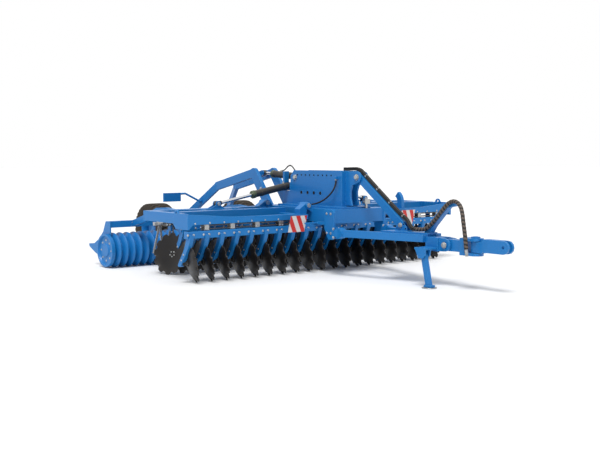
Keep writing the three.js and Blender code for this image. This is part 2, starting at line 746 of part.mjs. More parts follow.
function drawbarNose() {
  const body = block([NOSE_REAR_X, NOSE_FRONT_X], [-NOSE_HALF_WIDTH, NOSE_HALF_WIDTH], [NOSE_BOTTOM, NOSE_TOP]);
  const lugOutline = [
    [NOSE_FRONT_X - WELD, NOSE_BOTTOM],
    ...arc([HITCH_PIN_X, HITCH_PIN_Z], HITCH_LUG_RADIUS, -90, 90, 6),
    [NOSE_FRONT_X - WELD, NOSE_TOP],
  ];
  const outer = HITCH_LUG_INNER + HITCH_LUG_THICKNESS;
  const lugs = bothSides((side) => plate('xz', lugOutline, span(side, HITCH_LUG_INNER, outer)));
  const reach = outer + PIN_END;
  const pin = bar([HITCH_PIN_X, -reach, HITCH_PIN_Z], [HITCH_PIN_X, reach, HITCH_PIN_Z], HITCH_PIN_RADIUS);
  return join(body, lugs, pin);
}

function hitchHead() {
  const half = HITCH_LUG_INNER - RUNNING;
  const neckOutline = [
    ...arc([HITCH_PIN_X, HITCH_PIN_Z], HITCH_LUG_RADIUS - RUNNING, 90, 270, 6),
    [HEAD_REAR_X + WELD, HITCH_PIN_Z - HITCH_NECK_HALF_HEIGHT],
    [HEAD_REAR_X + WELD, HITCH_PIN_Z + HITCH_NECK_HALF_HEIGHT],
  ];
  const neck = plate('xz', neckOutline, [-half, half]);
  const body = block(
    [HEAD_REAR_X, SWIVEL_X - HEAD_HALF_WIDTH],
    [-HEAD_HALF_WIDTH, HEAD_HALF_WIDTH],
    [HEAD_BOTTOM, HEAD_TOP],
  );
  const forkOutline = [
    [HEAD_REAR_X + 2 * WELD, -HEAD_HALF_WIDTH],
    ...arc([SWIVEL_X, 0], HEAD_HALF_WIDTH, -90, 90, 6),
    [HEAD_REAR_X + 2 * WELD, HEAD_HALF_WIDTH],
  ];
  const forkPlates = [HEAD_BOTTOM, HEAD_TOP - HEAD_PLATE_THICKNESS].map((z) =>
    plate('xy', forkOutline, [z, z + HEAD_PLATE_THICKNESS]),
  );
  const swivelPin = bar([SWIVEL_X, 0, HEAD_BOTTOM + WELD / 2], [SWIVEL_X, 0, HEAD_TOP + PIN_END + 5], HITCH_PIN_RADIUS);
  const cap = bar([SWIVEL_X, 0, HEAD_TOP - WELD / 2], [SWIVEL_X, 0, HEAD_TOP + PIN_END], 2 * HITCH_PIN_RADIUS);
  const cut = half + PAST;
  const pinHole = bore([HITCH_PIN_X, -cut, HITCH_PIN_Z], [HITCH_PIN_X, cut, HITCH_PIN_Z], HITCH_PIN_RADIUS);
  return join(neck, body, forkPlates, swivelPin, cap).subtract(pinHole);
}

function towArm() {
  const tongueBottom = HEAD_BOTTOM + HEAD_PLATE_THICKNESS + RUNNING;
  const tongueTop = HEAD_TOP - HEAD_PLATE_THICKNESS - RUNNING;
  const tongueOutline = [
    ...arc([SWIVEL_X, 0], TOW_ARM_HALF_WIDTH, 90, 270, 6),
    [TOW_ARM_START + 20, -TOW_ARM_HALF_WIDTH],
    [TOW_ARM_START + 20, TOW_ARM_HALF_WIDTH],
  ];
  const outline = [
    [TOW_ARM_START, tongueBottom],
    [TOW_ARM_START + 40, TOW_ARM_Z - TOW_ARM_HALF_HEIGHT],
    ...arc([TOW_HOLE_X, TOW_ARM_Z], TOW_ARM_HALF_HEIGHT, -90, 90, 6),
    [TOW_ARM_START + 40, TOW_ARM_Z + TOW_ARM_HALF_HEIGHT],
    [TOW_ARM_START, tongueTop],
  ];
  const arm = plate('xz', outline, [-TOW_ARM_HALF_WIDTH, TOW_ARM_HALF_WIDTH]);
  const reach = TOW_HOLE_X + TOW_ARM_HALF_HEIGHT + 10;
  const slot = block(
    [reach - TOW_SLOT_DEPTH - 10, reach],
    [-TOW_SLOT_HALF_WIDTH, TOW_SLOT_HALF_WIDTH],
    [TOW_ARM_Z - 100, TOW_ARM_Z + 100],
  );
  const towHole = bar([TOW_HOLE_X, -90, TOW_ARM_Z], [TOW_HOLE_X, 90, TOW_ARM_Z], TOW_HOLE_RADIUS);
  const swivelHole = bore([SWIVEL_X, 0, tongueBottom - 5], [SWIVEL_X, 0, tongueTop + 5], HITCH_PIN_RADIUS);
  return join(arm, plate('xy', tongueOutline, [tongueBottom, tongueTop]))
    .subtract(slot)
    .subtract(towHole)
    .subtract(swivelHole);
}

function standBracket() {
  const near = STAND_LEG_WIDTH / 2 + RUNNING;
  const far = near + STAND_CHEEK_THICKNESS;
  const cheekOutline = [
    [STAND_PIN_X - STAND_CHEEK.rear, STAND_ROOF_TOP],
    [STAND_PIN_X - STAND_CHEEK.slope, STAND_PIN_Z - STAND_CHEEK.below],
    [STAND_PIN_X + STAND_PIN_RADIUS, STAND_PIN_Z - STAND_CHEEK.below],
    [STAND_PIN_X + STAND_CHEEK.slope, STAND_PIN_Z],
    [STAND_PIN_X + STAND_CHEEK.front, STAND_ROOF_TOP],
  ];
  const cheeks = bothSides((side) => {
    const [low, high] = span(side, near, far);
    return plate('xz', cheekOutline, [STAND_Y + low, STAND_Y + high]);
  });
  const roof = block(
    [STAND_PIN_X - STAND_CHEEK.rear, STAND_PIN_X + STAND_CHEEK.front],
    [STAND_Y - far, -NOSE_HALF_WIDTH - SEAT],
    [STAND_ROOF_BOTTOM, STAND_ROOF_TOP],
  );
  const pin = bar(
    [STAND_PIN_X, STAND_Y - far, STAND_PIN_Z],
    [STAND_PIN_X, STAND_Y + far, STAND_PIN_Z],
    STAND_PIN_RADIUS,
    SLIM_ROUND,
  );
  return join(cheeks, roof, pin);
}

function standLeg() {
  const half = STAND_LEG_WIDTH / 2;
  const floor = STAND_FOOT_THICKNESS + SEAT;
  const shaft = beam([STAND_PIN_X, STAND_Y, STAND_PIN_Z], [STAND_FOOT_X, STAND_Y, 0], STAND_LEG_WIDTH, STAND_LEG_DEPTH);
  const eye = bar([STAND_PIN_X, STAND_Y - half, STAND_PIN_Z], [STAND_PIN_X, STAND_Y + half, STAND_PIN_Z], STAND_EYE_RADIUS);
  const shoe = block(
    [STAND_FOOT_X - SHOE.half, STAND_FOOT_X + SHOE.half],
    [STAND_Y - half - SHOE.side, STAND_Y + half + SHOE.side],
    [floor, floor + SHOE.height],
  );
  const room = 2 * STAND_FOOT_RADIUS;
  const belowShoe = block([STAND_FOOT_X - room, STAND_FOOT_X + room], [STAND_Y - room, STAND_Y + room], [-room, floor]);
  const pinHole = bore(
    [STAND_PIN_X, STAND_Y - half - PAST, STAND_PIN_Z],
    [STAND_PIN_X, STAND_Y + half + PAST, STAND_PIN_Z],
    STAND_PIN_RADIUS,
    SLIM_ROUND,
  );
  return join(shaft, eye, shoe).subtract(belowShoe).subtract(pinHole);
}

function standFoot() {
  return bar([STAND_FOOT_X, STAND_Y, 0], [STAND_FOOT_X, STAND_Y, STAND_FOOT_THICKNESS], STAND_FOOT_RADIUS, 16);
}

function hosePost() {
  const foot = DRAWBAR_Z + DRAWBAR_SECTION / 2 + GUSSET_THICKNESS + 2 * SEAT;
  const [footRear, footFront] = POST_FOOT_X;
  return plate('xz', [[footRear, foot], [footFront, foot], ...POST_EDGE], [-POST_HALF_WIDTH, POST_HALF_WIDTH]);
}

// A valve block with a solenoid through it, on a stalk on the front cross beam.
function controlValve() {
  const { x, y, bottom, width, height } = VALVE;
  const around = (reachX, reachY, z) => block([x - reachX, x + reachX], [y - reachY, y + reachY], z);
  return join(
    around(12, 15, [FRAME_TOP + SEAT, bottom + 10]),
    around(width / 3, width / 2, [bottom, bottom + height]),
    around(width / 6, width * 0.65, [bottom + height / 3, bottom + (height * 2) / 3]),
  );
}

// ---------------------------------------------------------------- wings (built for +Y and mirrored)

function wingHingeEyes() {
  const half = HINGE_EYE_LENGTH / 2;
  return [WING_FRONT_X, WING_REAR_X].flatMap((x) => {
    const eye = bar([x - half, HINGE_Y, HINGE_Z], [x + half, HINGE_Y, HINGE_Z], HINGE_EYE_RADIUS);
    const webOutline = [
      [HINGE_Y + WELD / 2, HINGE_Z - HINGE_EYE_RADIUS + WELD / 2],
      [WING_ROOT_Y, FRONT_BEAM_TOP - 2 * WELD],
      [WING_ROOT_Y + WING_SIDE_WIDTH, FRONT_BEAM_TOP - 2 * WELD],
      [WING_ROOT_Y + WING_SIDE_WIDTH, WING_BEAM_TOP],
      [HINGE_Y + 2 * WELD, HINGE_Z + HINGE_EYE_RADIUS - WELD],
    ];
    return [eye, plate('yz', webOutline, [x - half, x + half])];
  });
}

function wingHingeBores() {
  const reach = HINGE_EYE_LENGTH / 2 + PAST;
  return join(
    [WING_FRONT_X, WING_REAR_X].map((x) =>
      bore([x - reach, HINGE_Y, HINGE_Z], [x + reach, HINGE_Y, HINGE_Z], HINGE_PIN_RADIUS, SLIM_ROUND),
    ),
  );
}

function foldBracketPlates() {
  const near = EYE_WIDTH / 2 + RUNNING;
  const outline = [
    [FOLD_EYE_Y - FOLD_BRACKET.inner, WING_BEAM_TOP - 3 * WELD],
    [FOLD_EYE_Y + FOLD_BRACKET.outer, WING_BEAM_TOP - 3 * WELD],
    [FOLD_EYE_Y + FOLD_BRACKET.outer, WING_BEAM_TOP],
    ...arc([FOLD_EYE_Y, FOLD_EYE_Z], CYLINDER_EYE_RADIUS, -20, 210, 7),
    [FOLD_EYE_Y - FOLD_BRACKET.inner, WING_BEAM_TOP],
  ];
  const shelf = block(
    [FOLD_X - near - 2 * LUG_THICKNESS, FOLD_X + near + 2 * LUG_THICKNESS],
    [FOLD_EYE_Y - FOLD_SHELF.inner, FOLD_EYE_Y + FOLD_SHELF.outer],
    [FOLD_SHELF.bottom, WING_BEAM_TOP],
  );
  const plates = [-1, 1].map((end) => {
    const [low, high] = span(end, near, near + LUG_THICKNESS);
    return plate('yz', outline, [FOLD_X + low, FOLD_X + high]);
  });
  return [shelf, ...plates];
}

function wingEndPlate() {
  const front = WING_FRONT_X + WING_BEAM_DEPTH / 2;
  const rear = WING_FRONT_X - WING_BEAM_DEPTH / 2 - END_PLATE_TAIL;
  const earX = rear + END_PLATE_TAIL / 2;
  const eyeZ = WING_BEAM_TOP + LIFTING_EYE.rise;
  const outline = [
    [rear, END_PLATE_BOTTOM + END_PLATE_CHAMFER],
    [rear + END_PLATE_CHAMFER, END_PLATE_BOTTOM],
    [front + FACE_PLATE_THICKNESS, END_PLATE_BOTTOM],
    [front + FACE_PLATE_THICKNESS, WING_BEAM_TOP],
    [earX + END_PLATE_CHAMFER, WING_BEAM_TOP],
    ...arc([earX, WING_BEAM_TOP], LIFTING_EYE.lug, 40, 160, 4),
    [rear, WING_BEAM_TOP - END_PLATE_CHAMFER],
  ];
  const sheet = plate('xz', outline, [WING_END_Y, WING_END_Y + END_PLATE_THICKNESS]);
  const beyond = WING_END_Y + END_PLATE_THICKNESS + PAST;
  return sheet.subtract(bar([earX, WING_END_Y - PAST, eyeZ], [earX, beyond, eyeZ], LIFTING_EYE.radius));
}

function wingFrame() {
  const height = [WING_BEAM_BOTTOM, WING_BEAM_TOP];
  const half = WING_BEAM_DEPTH / 2;
  const front = WING_FRONT_X + half;
  const rear = WING_REAR_X - half;
  const crossBeams = [
    [WING_FRONT_X, half, FRONT_BEAM_TOP],
    [WING_REAR_X, half, WING_BEAM_TOP],
    [WING_MID_X, WING_MID_DEPTH / 2, WING_BEAM_TOP],
  ].map(([x, reach, top]) => block([x - reach, x + reach], [WING_ROOT_Y, WING_END_Y], [WING_BEAM_BOTTOM, top]));
  const root = block([rear, front], [WING_ROOT_Y, WING_ROOT_Y + WING_SIDE_WIDTH], [WING_BEAM_BOTTOM, FRONT_BEAM_TOP]);
  const outer = block([rear, WING_FRONT_X - half - 20], [WING_END_Y - WING_SIDE_WIDTH, WING_END_Y], height);
  const facePlate = plate('yz', [
    [WING_ROOT_Y, WING_BEAM_BOTTOM - 5],
    [WING_END_Y - 60, WING_BEAM_BOTTOM - 5],
    [WING_END_Y, END_PLATE_BOTTOM],
    [WING_END_Y + END_PLATE_THICKNESS, END_PLATE_BOTTOM],
    [WING_END_Y + END_PLATE_THICKNESS, WING_BEAM_TOP],
    [WING_END_Y - 700, FRONT_BEAM_TOP + 20],
    [WING_ROOT_Y, FRONT_BEAM_TOP],
  ], [front, front + FACE_PLATE_THICKNESS]);
  const railRear = RAIL_X - RAIL_SIZE / 2 - SEAT;
  const hangers = [0, -ROW_SPACING].flatMap((row) =>
    HANGER_Y.map((y) =>
      block(
        [row + railRear - HANGER_DEPTH, row + railRear],
        [y - HANGER_THICKNESS / 2, y + HANGER_THICKNESS / 2],
        [RAIL_BOTTOM + 2 * WELD, WING_BEAM_BOTTOM + WELD],
      ),
    ),
  );
  return join(crossBeams, root, outer, facePlate, wingEndPlate(), hangers, foldBracketPlates(), wingHingeEyes())
    .subtract(wingHingeBores());
}

// Leaf springs between a row's rail and the beam above it: packs of two leaves between clamps.
function springRow(row) {
  const low = RAIL_TOP + SEAT;
  const high = WING_BEAM_BOTTOM - SEAT;
  const rear = row + RAIL_X - RAIL_SIZE / 2 + 2;
  const depth = [rear, rear + SPRING_DEPTH];
  const first = WING_ROOT_Y + SPRING_INSET.inner;
  const last = WING_END_Y - SPRING_INSET.outer;
  const pitch = (last - first) / SPRING_COUNT;
  const clamps = Array.from({ length: SPRING_COUNT + 1 }, (_, i) =>
    block(depth, [first + i * pitch - CLAMP_HALF_WIDTH, first + i * pitch + CLAMP_HALF_WIDTH], [low, high]),
  );
  const leafLevels = [low + SPRING_LEAF, high - 2 * SPRING_LEAF];
  const leafDepth = [rear + RUNNING, rear + SPRING_DEPTH - RUNNING];
  const leaves = leafLevels.map((z) =>
    block(leafDepth, [first - SPRING_INSET.inner, last + SPRING_INSET.inner], [z, z + SPRING_LEAF]),
  );
  return join(clamps, leaves);
}

function tineRow() {
  const half = TINE_TUBE_SIZE / 2;
  const top = TINE_TUBE_BOTTOM + TINE_TUBE_SIZE;
  const tube = block([TINE_X - half, TINE_X + half], [TINE_ROW_START_Y, TINE_ROW_END_Y], [TINE_TUBE_BOTTOM, top]);
  const pitch = (TINE_ROW_END_Y - TINE_ROW_START_Y) / TINE_COUNT;
  const tines = Array.from({ length: TINE_COUNT }, (_, i) => {
    const y = TINE_ROW_START_Y + (i + 0.5) * pitch;
    return bothSides((side) =>
      beam(
        [TINE_X, y + side * TINE_ROOT_SPREAD, TINE_TUBE_BOTTOM + WELD],
        [TINE_X - TINE_LEAN, y + side * TINE_SPREAD, TINE_FOOT_Z],
        TINE_WIDTH,
        TINE_THICKNESS,
        UNIT_X,
      ),
    );
  }).flat();
  const beamBack = WING_REAR_X - WING_BEAM_DEPTH / 2 - SEAT;
  const bracketOutline = [
    [beamBack, WING_BEAM_BOTTOM + WELD],
    [beamBack, WING_BEAM_TOP - 2 * WELD],
    [beamBack - TINE_BRACKET_LEDGE, WING_BEAM_TOP - 2 * WELD],
    [TINE_X - half, top],
    [TINE_X - half, TINE_TUBE_BOTTOM + WELD],
    [TINE_X + half, TINE_TUBE_BOTTOM + WELD],
  ];
  const brackets = TINE_BRACKET_Y.map((y) => plate('xz', bracketOutline, [y, y + LUG_THICKNESS]));
  return join(tube, tines, brackets);
}

// ---------------------------------------------------------------- ring rollers

const RINGS_INNER_Y = ROLLER_INNER_Y + ROLLER_PLATE_THICKNESS + RUNNING;
const RINGS_OUTER_Y = RINGS_INNER_Y + RING_COUNT * RING_PITCH;
const ROLLER_PLATE_Y = RINGS_OUTER_Y + RUNNING;
const END_DRUM_Y = ROLLER_PLATE_Y + ROLLER_PLATE_THICKNESS + RUNNING;
const ROLLER_END_Y = END_DRUM_Y + END_DRUM_WIDTH;

function roller() {
  const rings = Array.from({ length: RING_COUNT }, (_, i) => {
    const start = RINGS_INNER_Y + i * RING_PITCH;
    return [
      [ROLLER_CORE_RADIUS, start],
      [ROLLER_RADIUS, start + RING_PITCH / 2],
    ];
  }).flat();
  const profile = [
    [0, ROLLER_INNER_Y],
    [ROLLER_SHAFT_RADIUS, ROLLER_INNER_Y],
    [ROLLER_SHAFT_RADIUS, RINGS_INNER_Y],
    ...rings,
    [ROLLER_CORE_RADIUS, RINGS_OUTER_Y],
    [ROLLER_SHAFT_RADIUS, RINGS_OUTER_Y],
    [ROLLER_SHAFT_RADIUS, END_DRUM_Y],
    [END_DRUM_RADIUS, END_DRUM_Y],
    [END_DRUM_RADIUS, ROLLER_END_Y],
    [END_DRUM_RADIUS - END_DRUM_RIM, ROLLER_END_Y],
    [END_DRUM_RADIUS - 1.4 * END_DRUM_RIM, ROLLER_END_Y - END_DRUM_RECESS],
    [0, ROLLER_END_Y - END_DRUM_RECESS],
  ];
  return turned(profile, [ROLLER_X, 0, ROLLER_RADIUS], UNIT_Y, ROLLER_SIDES);
}

function rollerPlate(withFin, [low, high]) {
  const beamTop = ROLLER_BEAM_BOTTOM + ROLLER_BEAM_SIZE;
  const fin = FIN.map(([back, z]) => [ROLLER_X - back, z]);
  const outline = [
    [ROLLER_X + ROLLER_PLATE_HALF_TOP, beamTop - WELD / 2],
    ...arc([ROLLER_X, ROLLER_RADIUS], ROLLER_BEARING_RADIUS, 0, -180, 6),
    ...(withFin ? fin : []),
    [ROLLER_X - ROLLER_PLATE_HALF_TOP, beamTop - WELD / 2],
  ];
  const shaftHole = bore(
    [ROLLER_X, low - PAST, ROLLER_RADIUS],
    [ROLLER_X, high + PAST, ROLLER_RADIUS],
    ROLLER_SHAFT_RADIUS,
    ROLLER_SIDES,
  );
  return plate('xz', outline, [low, high]).subtract(shaftHole);
}

function rollerFrame() {
  const top = ROLLER_BEAM_BOTTOM + ROLLER_BEAM_SIZE;
  const half = ROLLER_BEAM_SIZE / 2;
  const outerEnd = ROLLER_PLATE_Y + ROLLER_PLATE_THICKNESS;
  const crossBeam = block([ROLLER_X - half, ROLLER_X + half], [ROLLER_INNER_Y, outerEnd], [ROLLER_BEAM_BOTTOM, top]);
  const beamBack = WING_REAR_X - WING_BEAM_DEPTH / 2 - SEAT;
  const fromBeam = ([back, z]) => [beamBack - back, z];
  const armOutline = [
    ...ARM_UPPER_EDGE.map(fromBeam),
    [ROLLER_X + half - WELD, top],
    [ROLLER_X + half - WELD, ROLLER_BEAM_BOTTOM + WELD],
    ...ARM_LOWER_EDGE.map(fromBeam),
  ];
  const arms = ROLLER_ARM_Y.map((y) =>
    plate('xz', armOutline, [y - ROLLER_ARM_WIDTH / 2, y + ROLLER_ARM_WIDTH / 2]),
  );
  return join(
    crossBeam,
    arms,
    rollerPlate(false, [ROLLER_INNER_Y, ROLLER_INNER_Y + ROLLER_PLATE_THICKNESS]),
    rollerPlate(true, [ROLLER_PLATE_Y, outerEnd]),
  );
}

// ---------------------------------------------------------------- disc rows

// facing is +1 where the hollow sides look to +Y, and -1 where they look to -Y.
function discAxis(facing) {
  const level = Math.cos(DISC_UNDERCUT);
  return new THREE.Vector3(
    Math.sin(DISC_CUT_ANGLE) * level,
    facing * Math.cos(DISC_CUT_ANGLE) * level,
    Math.sin(DISC_UNDERCUT),
  );
}

// The disc's lowest point lies on the row's line, at a pitch mark.
function discWithHub(x, y, facing) {
  const axis = discAxis(facing);
  const down = UNIT_Z.clone().negate().addScaledVector(axis, axis.z).normalize();
  const centre = new THREE.Vector3(x, y, 0).addScaledVector(down, -DISC_RADIUS).setZ(DISC_HEIGHT);
  const back = -DISH_DEPTH - DISC_THICKNESS;
  const hubShare = DISC_HUB_RADIUS / DISC_RADIUS;
  const profile = [
    [0, back - DISC_HUB_LENGTH],
    [DISC_HUB_RADIUS, back - DISC_HUB_LENGTH],
    [DISC_HUB_RADIUS, back + hubShare * DISH_DEPTH],
    [DISC_RADIUS, -DISC_THICKNESS],
    [DISC_RADIUS, 0],
    [0, -DISH_DEPTH],
  ];
  return turned(profile, centre.toArray(), axis, ROUND);
}

function discArm(x, y) {
  const topZ = RAIL_BOTTOM + RAIL_SIZE / 2;
  const topX = x + RAIL_X + ARM_TOP_AHEAD;
  const footX = x + ARM_FOOT_X;
  const outline = [
    [topX - ARM_DEPTH_TOP / 2, topZ],
    [footX - ARM_DEPTH_FOOT / 2, ARM_FOOT_Z + ARM_FOOT_ROUND],
    [footX - ARM_DEPTH_FOOT / 4, ARM_FOOT_Z - ARM_FOOT_ROUND],
    [footX + ARM_DEPTH_FOOT / 4, ARM_FOOT_Z - ARM_FOOT_ROUND],
    [footX + ARM_DEPTH_FOOT / 2, ARM_FOOT_Z + ARM_FOOT_ROUND],
    [topX + ARM_DEPTH_TOP / 2, topZ],
  ];
  return plate('xz', outline, [y - ARM_WIDTH / 2, y + ARM_WIDTH / 2]);
}

function discRow(rowX, firstY, count, facing) {
  const discYs = Array.from({ length: count }, (_, i) => firstY + i * DISC_PITCH);
  const armYs = discYs.map((y) => y - facing * ARM_OFFSET);
  const reach = ARM_WIDTH / 2 + RAIL_OVERHANG;
  const rail = block(
    [rowX + RAIL_X - RAIL_SIZE / 2, rowX + RAIL_X + RAIL_SIZE / 2],
    [armYs[0] - reach, armYs[count - 1] + reach],
    [RAIL_BOTTOM, RAIL_TOP],
  );
  return join(
    rail,
    armYs.map((y) => discArm(rowX, y)),
    discYs.map((y) => discWithHub(rowX, y, facing)),
  );
}

// ---------------------------------------------------------------- cylinders

// A barrel with a blind bore, an eye across its foot and two hose ports. The line runs from foot to eye.
function cylinderBarrel(foot, eye, barrelEnd, crossAxis, crossWidth) {
  const start = vector(foot);
  const along = vector(eye).sub(start).normalize();
  const at = (distance) => start.clone().addScaledVector(along, distance).toArray();
  const across = (reach) => [-reach, reach].map((y) => start.clone().addScaledVector(crossAxis, y).toArray());
  const shell = bar(at(BARREL_FOOT), at(barrelEnd), BARREL_RADIUS);
  const gland = bar(at(barrelEnd - GLAND.length), at(barrelEnd), BARREL_RADIUS + GLAND.lip);
  const rodHole = bore(at(BORE_START), at(barrelEnd + PAST), ROD_RADIUS);
  const pinHole = bore(...across(crossWidth / 2 + PAST), CYLINDER_PIN_RADIUS, SLIM_ROUND);
  const footEye = bar(...across(crossWidth / 2), CYLINDER_EYE_RADIUS);
  const upward = vector(along.toArray()).cross(crossAxis).normalize();
  if (upward.z < 0) upward.negate();
  const portBottom = BARREL_RADIUS - PORT_ROOT;
  const raised = (distance) =>
    vector(at(distance)).addScaledVector(upward, (portBottom + PORT_TOP) / 2).toArray();
  const ports = [PORT_FOOT, PORT_HEAD].map((distance) =>
    beam(raised(distance - PORT_SIZE / 2), raised(distance + PORT_SIZE / 2), PORT_SIZE, PORT_TOP - portBottom),
  );
  return join(shell, gland, footEye, ports).subtract(rodHole).subtract(pinHole);
}

function cylinderRod(foot, eye, rodStart, crossAxis) {
  const start = vector(foot);
  const end = vector(eye);
  const along = end.clone().sub(start).normalize();
  const from = start.clone().addScaledVector(along, rodStart).toArray();
  const eyeBar = bar(
    end.clone().addScaledVector(crossAxis, -EYE_WIDTH / 2).toArray(),
    end.clone().addScaledVector(crossAxis, EYE_WIDTH / 2).toArray(),
    CYLINDER_EYE_RADIUS,
  );
  return join(bar(from, eye, ROD_RADIUS), eyeBar);
}

// ---------------------------------------------------------------- undercarriage

function swingArm(side) {
  const y = side * SWING_ARM_Y;
  const half = SWING_ARM_WIDTH / 2;
  const pivot = [SWING_PIN_X, y, SWING_PIN_Z];
  const apex = [SWING_APEX_X, y, SWING_APEX_Z];
  const knee = [SWING_KNEE_X, y, SWING_KNEE_Z];
  const axle = [AXLE_X, side * AXLE_LEG_Y, WHEEL_RADIUS];
  const across = (point, radius) =>
    bar([point[0], point[1] - half, point[2]], [point[0], point[1] + half, point[2]], radius);
  const pinHole = bore(
    [SWING_PIN_X, y - half - PAST, SWING_PIN_Z],
    [SWING_PIN_X, y + half + PAST, SWING_PIN_Z],
    SWING_PIN_RADIUS,
  );
  const belowAxleTop = block(
    [AXLE_X - WHEEL_RADIUS, AXLE_X + WHEEL_RADIUS],
    [-WHEEL_Y, WHEEL_Y],
    [0, WHEEL_RADIUS + AXLE_SECTION / 2 + SEAT],
  );
  return join(
    across(pivot, SWING_EYE_RADIUS),
    beam(pivot, apex, SWING_ARM_WIDTH, SWING_FRONT_DEPTH),
    across(apex, SWING_FRONT_DEPTH / 2),
    beam(apex, knee, SWING_ARM_WIDTH, SWING_REAR_DEPTH),
    across(knee, SWING_REAR_DEPTH / 2),
    beam(knee, axle, SWING_ARM_WIDTH, SWING_LEG_DEPTH),
  )
    .subtract(pinHole)
    .subtract(belowAxleTop);
}

function swingCrosshead() {
  const x = SWING_APEX_X - CROSSHEAD_OFFSET;
  const z = SWING_APEX_Z - CROSSHEAD_DROP;
  const reach = SWING_ARM_Y - SWING_ARM_WIDTH / 2 - SEAT;
  const tube = bar([x, -reach, z], [x, reach, z], CROSSHEAD_RADIUS);
  const inner = EYE_WIDTH / 2 + RUNNING;
  const outline = [
    [x, z - CROSSHEAD_RADIUS + WELD],
    ...arc([SWING_APEX_X, SWING_APEX_Z], CYLINDER_EYE_RADIUS, -90, 90, 6),
    [x, z + CROSSHEAD_RADIUS - WELD],
  ];
  const lugs = bothSides((side) => plate('xz', outline, span(side, inner, inner + LUG_THICKNESS)));
  return join(tube, lugs);
}

function axleBeam() {
  const half = AXLE_SECTION / 2;
  const body = block(
    [AXLE_X - half, AXLE_X + half],
    [-AXLE_HALF_LENGTH, AXLE_HALF_LENGTH],
    [WHEEL_RADIUS - half, WHEEL_RADIUS + half],
  );
  const reach = WHEEL_Y + WHEEL_HUB_LENGTH / 2;
  return body.add(bar([AXLE_X, -reach, WHEEL_RADIUS], [AXLE_X, reach, WHEEL_RADIUS], STUB_RADIUS, WHEEL_SIDES));
}

function tyre(side) {
  const half = TYRE_WIDTH / 2;
  const bead = RIM_RADIUS + SEAT;
  const profile = [
    [bead, -half + TYRE_BEAD_INSET],
    [bead + TYRE_SIDEWALL, -half],
    [WHEEL_RADIUS - TYRE_SHOULDER, -half],
    [WHEEL_RADIUS, -half + TYRE_SHOULDER],
    [WHEEL_RADIUS, half - TYRE_SHOULDER],
    [WHEEL_RADIUS - TYRE_SHOULDER, half],
    [bead + TYRE_SIDEWALL, half],
    [bead, half - TYRE_BEAD_INSET],
    [bead, -half + TYRE_BEAD_INSET],
  ];
  return turned(profile, [AXLE_X, side * WHEEL_Y, WHEEL_RADIUS], UNIT_Y, WHEEL_SIDES);
}

function rim(side) {
  const half = RIM_WIDTH / 2;
  const inner = RIM_RADIUS - RIM_WALL;
  const hubHalf = WHEEL_HUB_LENGTH / 2;
  const bearing = (STUB_RADIUS + SEAT) / Math.cos(Math.PI / WHEEL_SIDES);
  const profile = [
    [bearing, -hubHalf],
    [WHEEL_HUB_RADIUS, -hubHalf],
    [WHEEL_HUB_RADIUS, -WHEEL_WEB / 2],
    [inner, -WHEEL_WEB / 2],
    [inner, -half],
    [RIM_RADIUS, -half],
    [RIM_RADIUS, half],
    [inner, half],
    [inner, WHEEL_WEB / 2],
    [WHEEL_HUB_RADIUS, WHEEL_WEB / 2],
    [WHEEL_HUB_RADIUS, hubHalf],
    [bearing, hubHalf],
    [bearing, -hubHalf],
  ];
  return turned(profile, [AXLE_X, side * WHEEL_Y, WHEEL_RADIUS], UNIT_Y, WHEEL_SIDES);
}

function lampBoard(side) {
  const { x, y, z, width, height, thickness } = LAMP_BOARD;
  const board = block([x - thickness / 2, x + thickness / 2], span(side, y, y + width), [z - height / 2, z + height / 2]);
  const leg = new THREE.Vector3(AXLE_X - SWING_KNEE_X, side * (AXLE_LEG_Y - SWING_ARM_Y), WHEEL_RADIUS - SWING_KNEE_Z);
  const outward = new THREE.Vector3(-leg.y, leg.x, 0).normalize().multiplyScalar(-side);
  const foot = new THREE.Vector3(SWING_KNEE_X, side * SWING_ARM_Y, SWING_KNEE_Z)
    .addScaledVector(leg, LAMP_ARM_SHARE)
    .addScaledVector(outward, SWING_ARM_WIDTH / 2 + SEAT);
  const elbow = foot.clone().addScaledVector(outward, 2 * LAMP_ARM_RADIUS).toArray();
  const bend = [x, side * (y - 100), z + height / 2 - LAMP_ARM_RADIUS];
  return join(
    board,
    bar(foot.toArray(), elbow, LAMP_ARM_RADIUS + 6, SLIM_ROUND),
    bar(elbow, bend, LAMP_ARM_RADIUS, SLIM_ROUND),
    bar(bend, [x, side * (y + 10), z + height / 2 - LAMP_ARM_RADIUS - 2], LAMP_ARM_RADIUS, SLIM_ROUND),
  );
}

// ---------------------------------------------------------------- boards and the rest horn

// A board that leans forward on a rod from the centre frame's side plate.
function warningBoard(y) {
  const { width, height, thickness } = BOARD_SIZE;
  const half = thickness / 2;
  const foot = [BOARD_X - BOARD_LEAN / 2, BOARD_CENTRE_Z - height / 2];
  const head = [BOARD_X + BOARD_LEAN / 2, BOARD_CENTRE_Z + height / 2];
  const section = [
    [foot[0] - half, foot[1]],
    [foot[0] + half, foot[1]],
    [head[0] + half, head[1]],
    [head[0] - half, head[1]],
  ];
  const sheet = plate('xz', section, [y - width / 2, y + width / 2]);
  const rodX = BOARD_X + half + BOARD_ROD_RADIUS;
  const plateRear = FRAME_FRONT_X - FRONT_CROSS_DEPTH;
  const rodEnd = SIDE_PLATE_Y + SIDE_PLATE_THICKNESS / 2;
  const { width: side, height: rise } = BOARD_BRACKET_HALF;
  const rodTip = y + width / 2 - 2 * WELD;
  const rod = bar([rodX, rodEnd - side, BOARD_CENTRE_Z], [rodX, rodTip, BOARD_CENTRE_Z], BOARD_ROD_RADIUS);
  const bracket = block([rodX, plateRear - SEAT], [rodEnd - side, rodEnd + side], [BOARD_CENTRE_Z - rise, BOARD_CENTRE_Z + rise]);
  return join(sheet, rod, bracket);
}

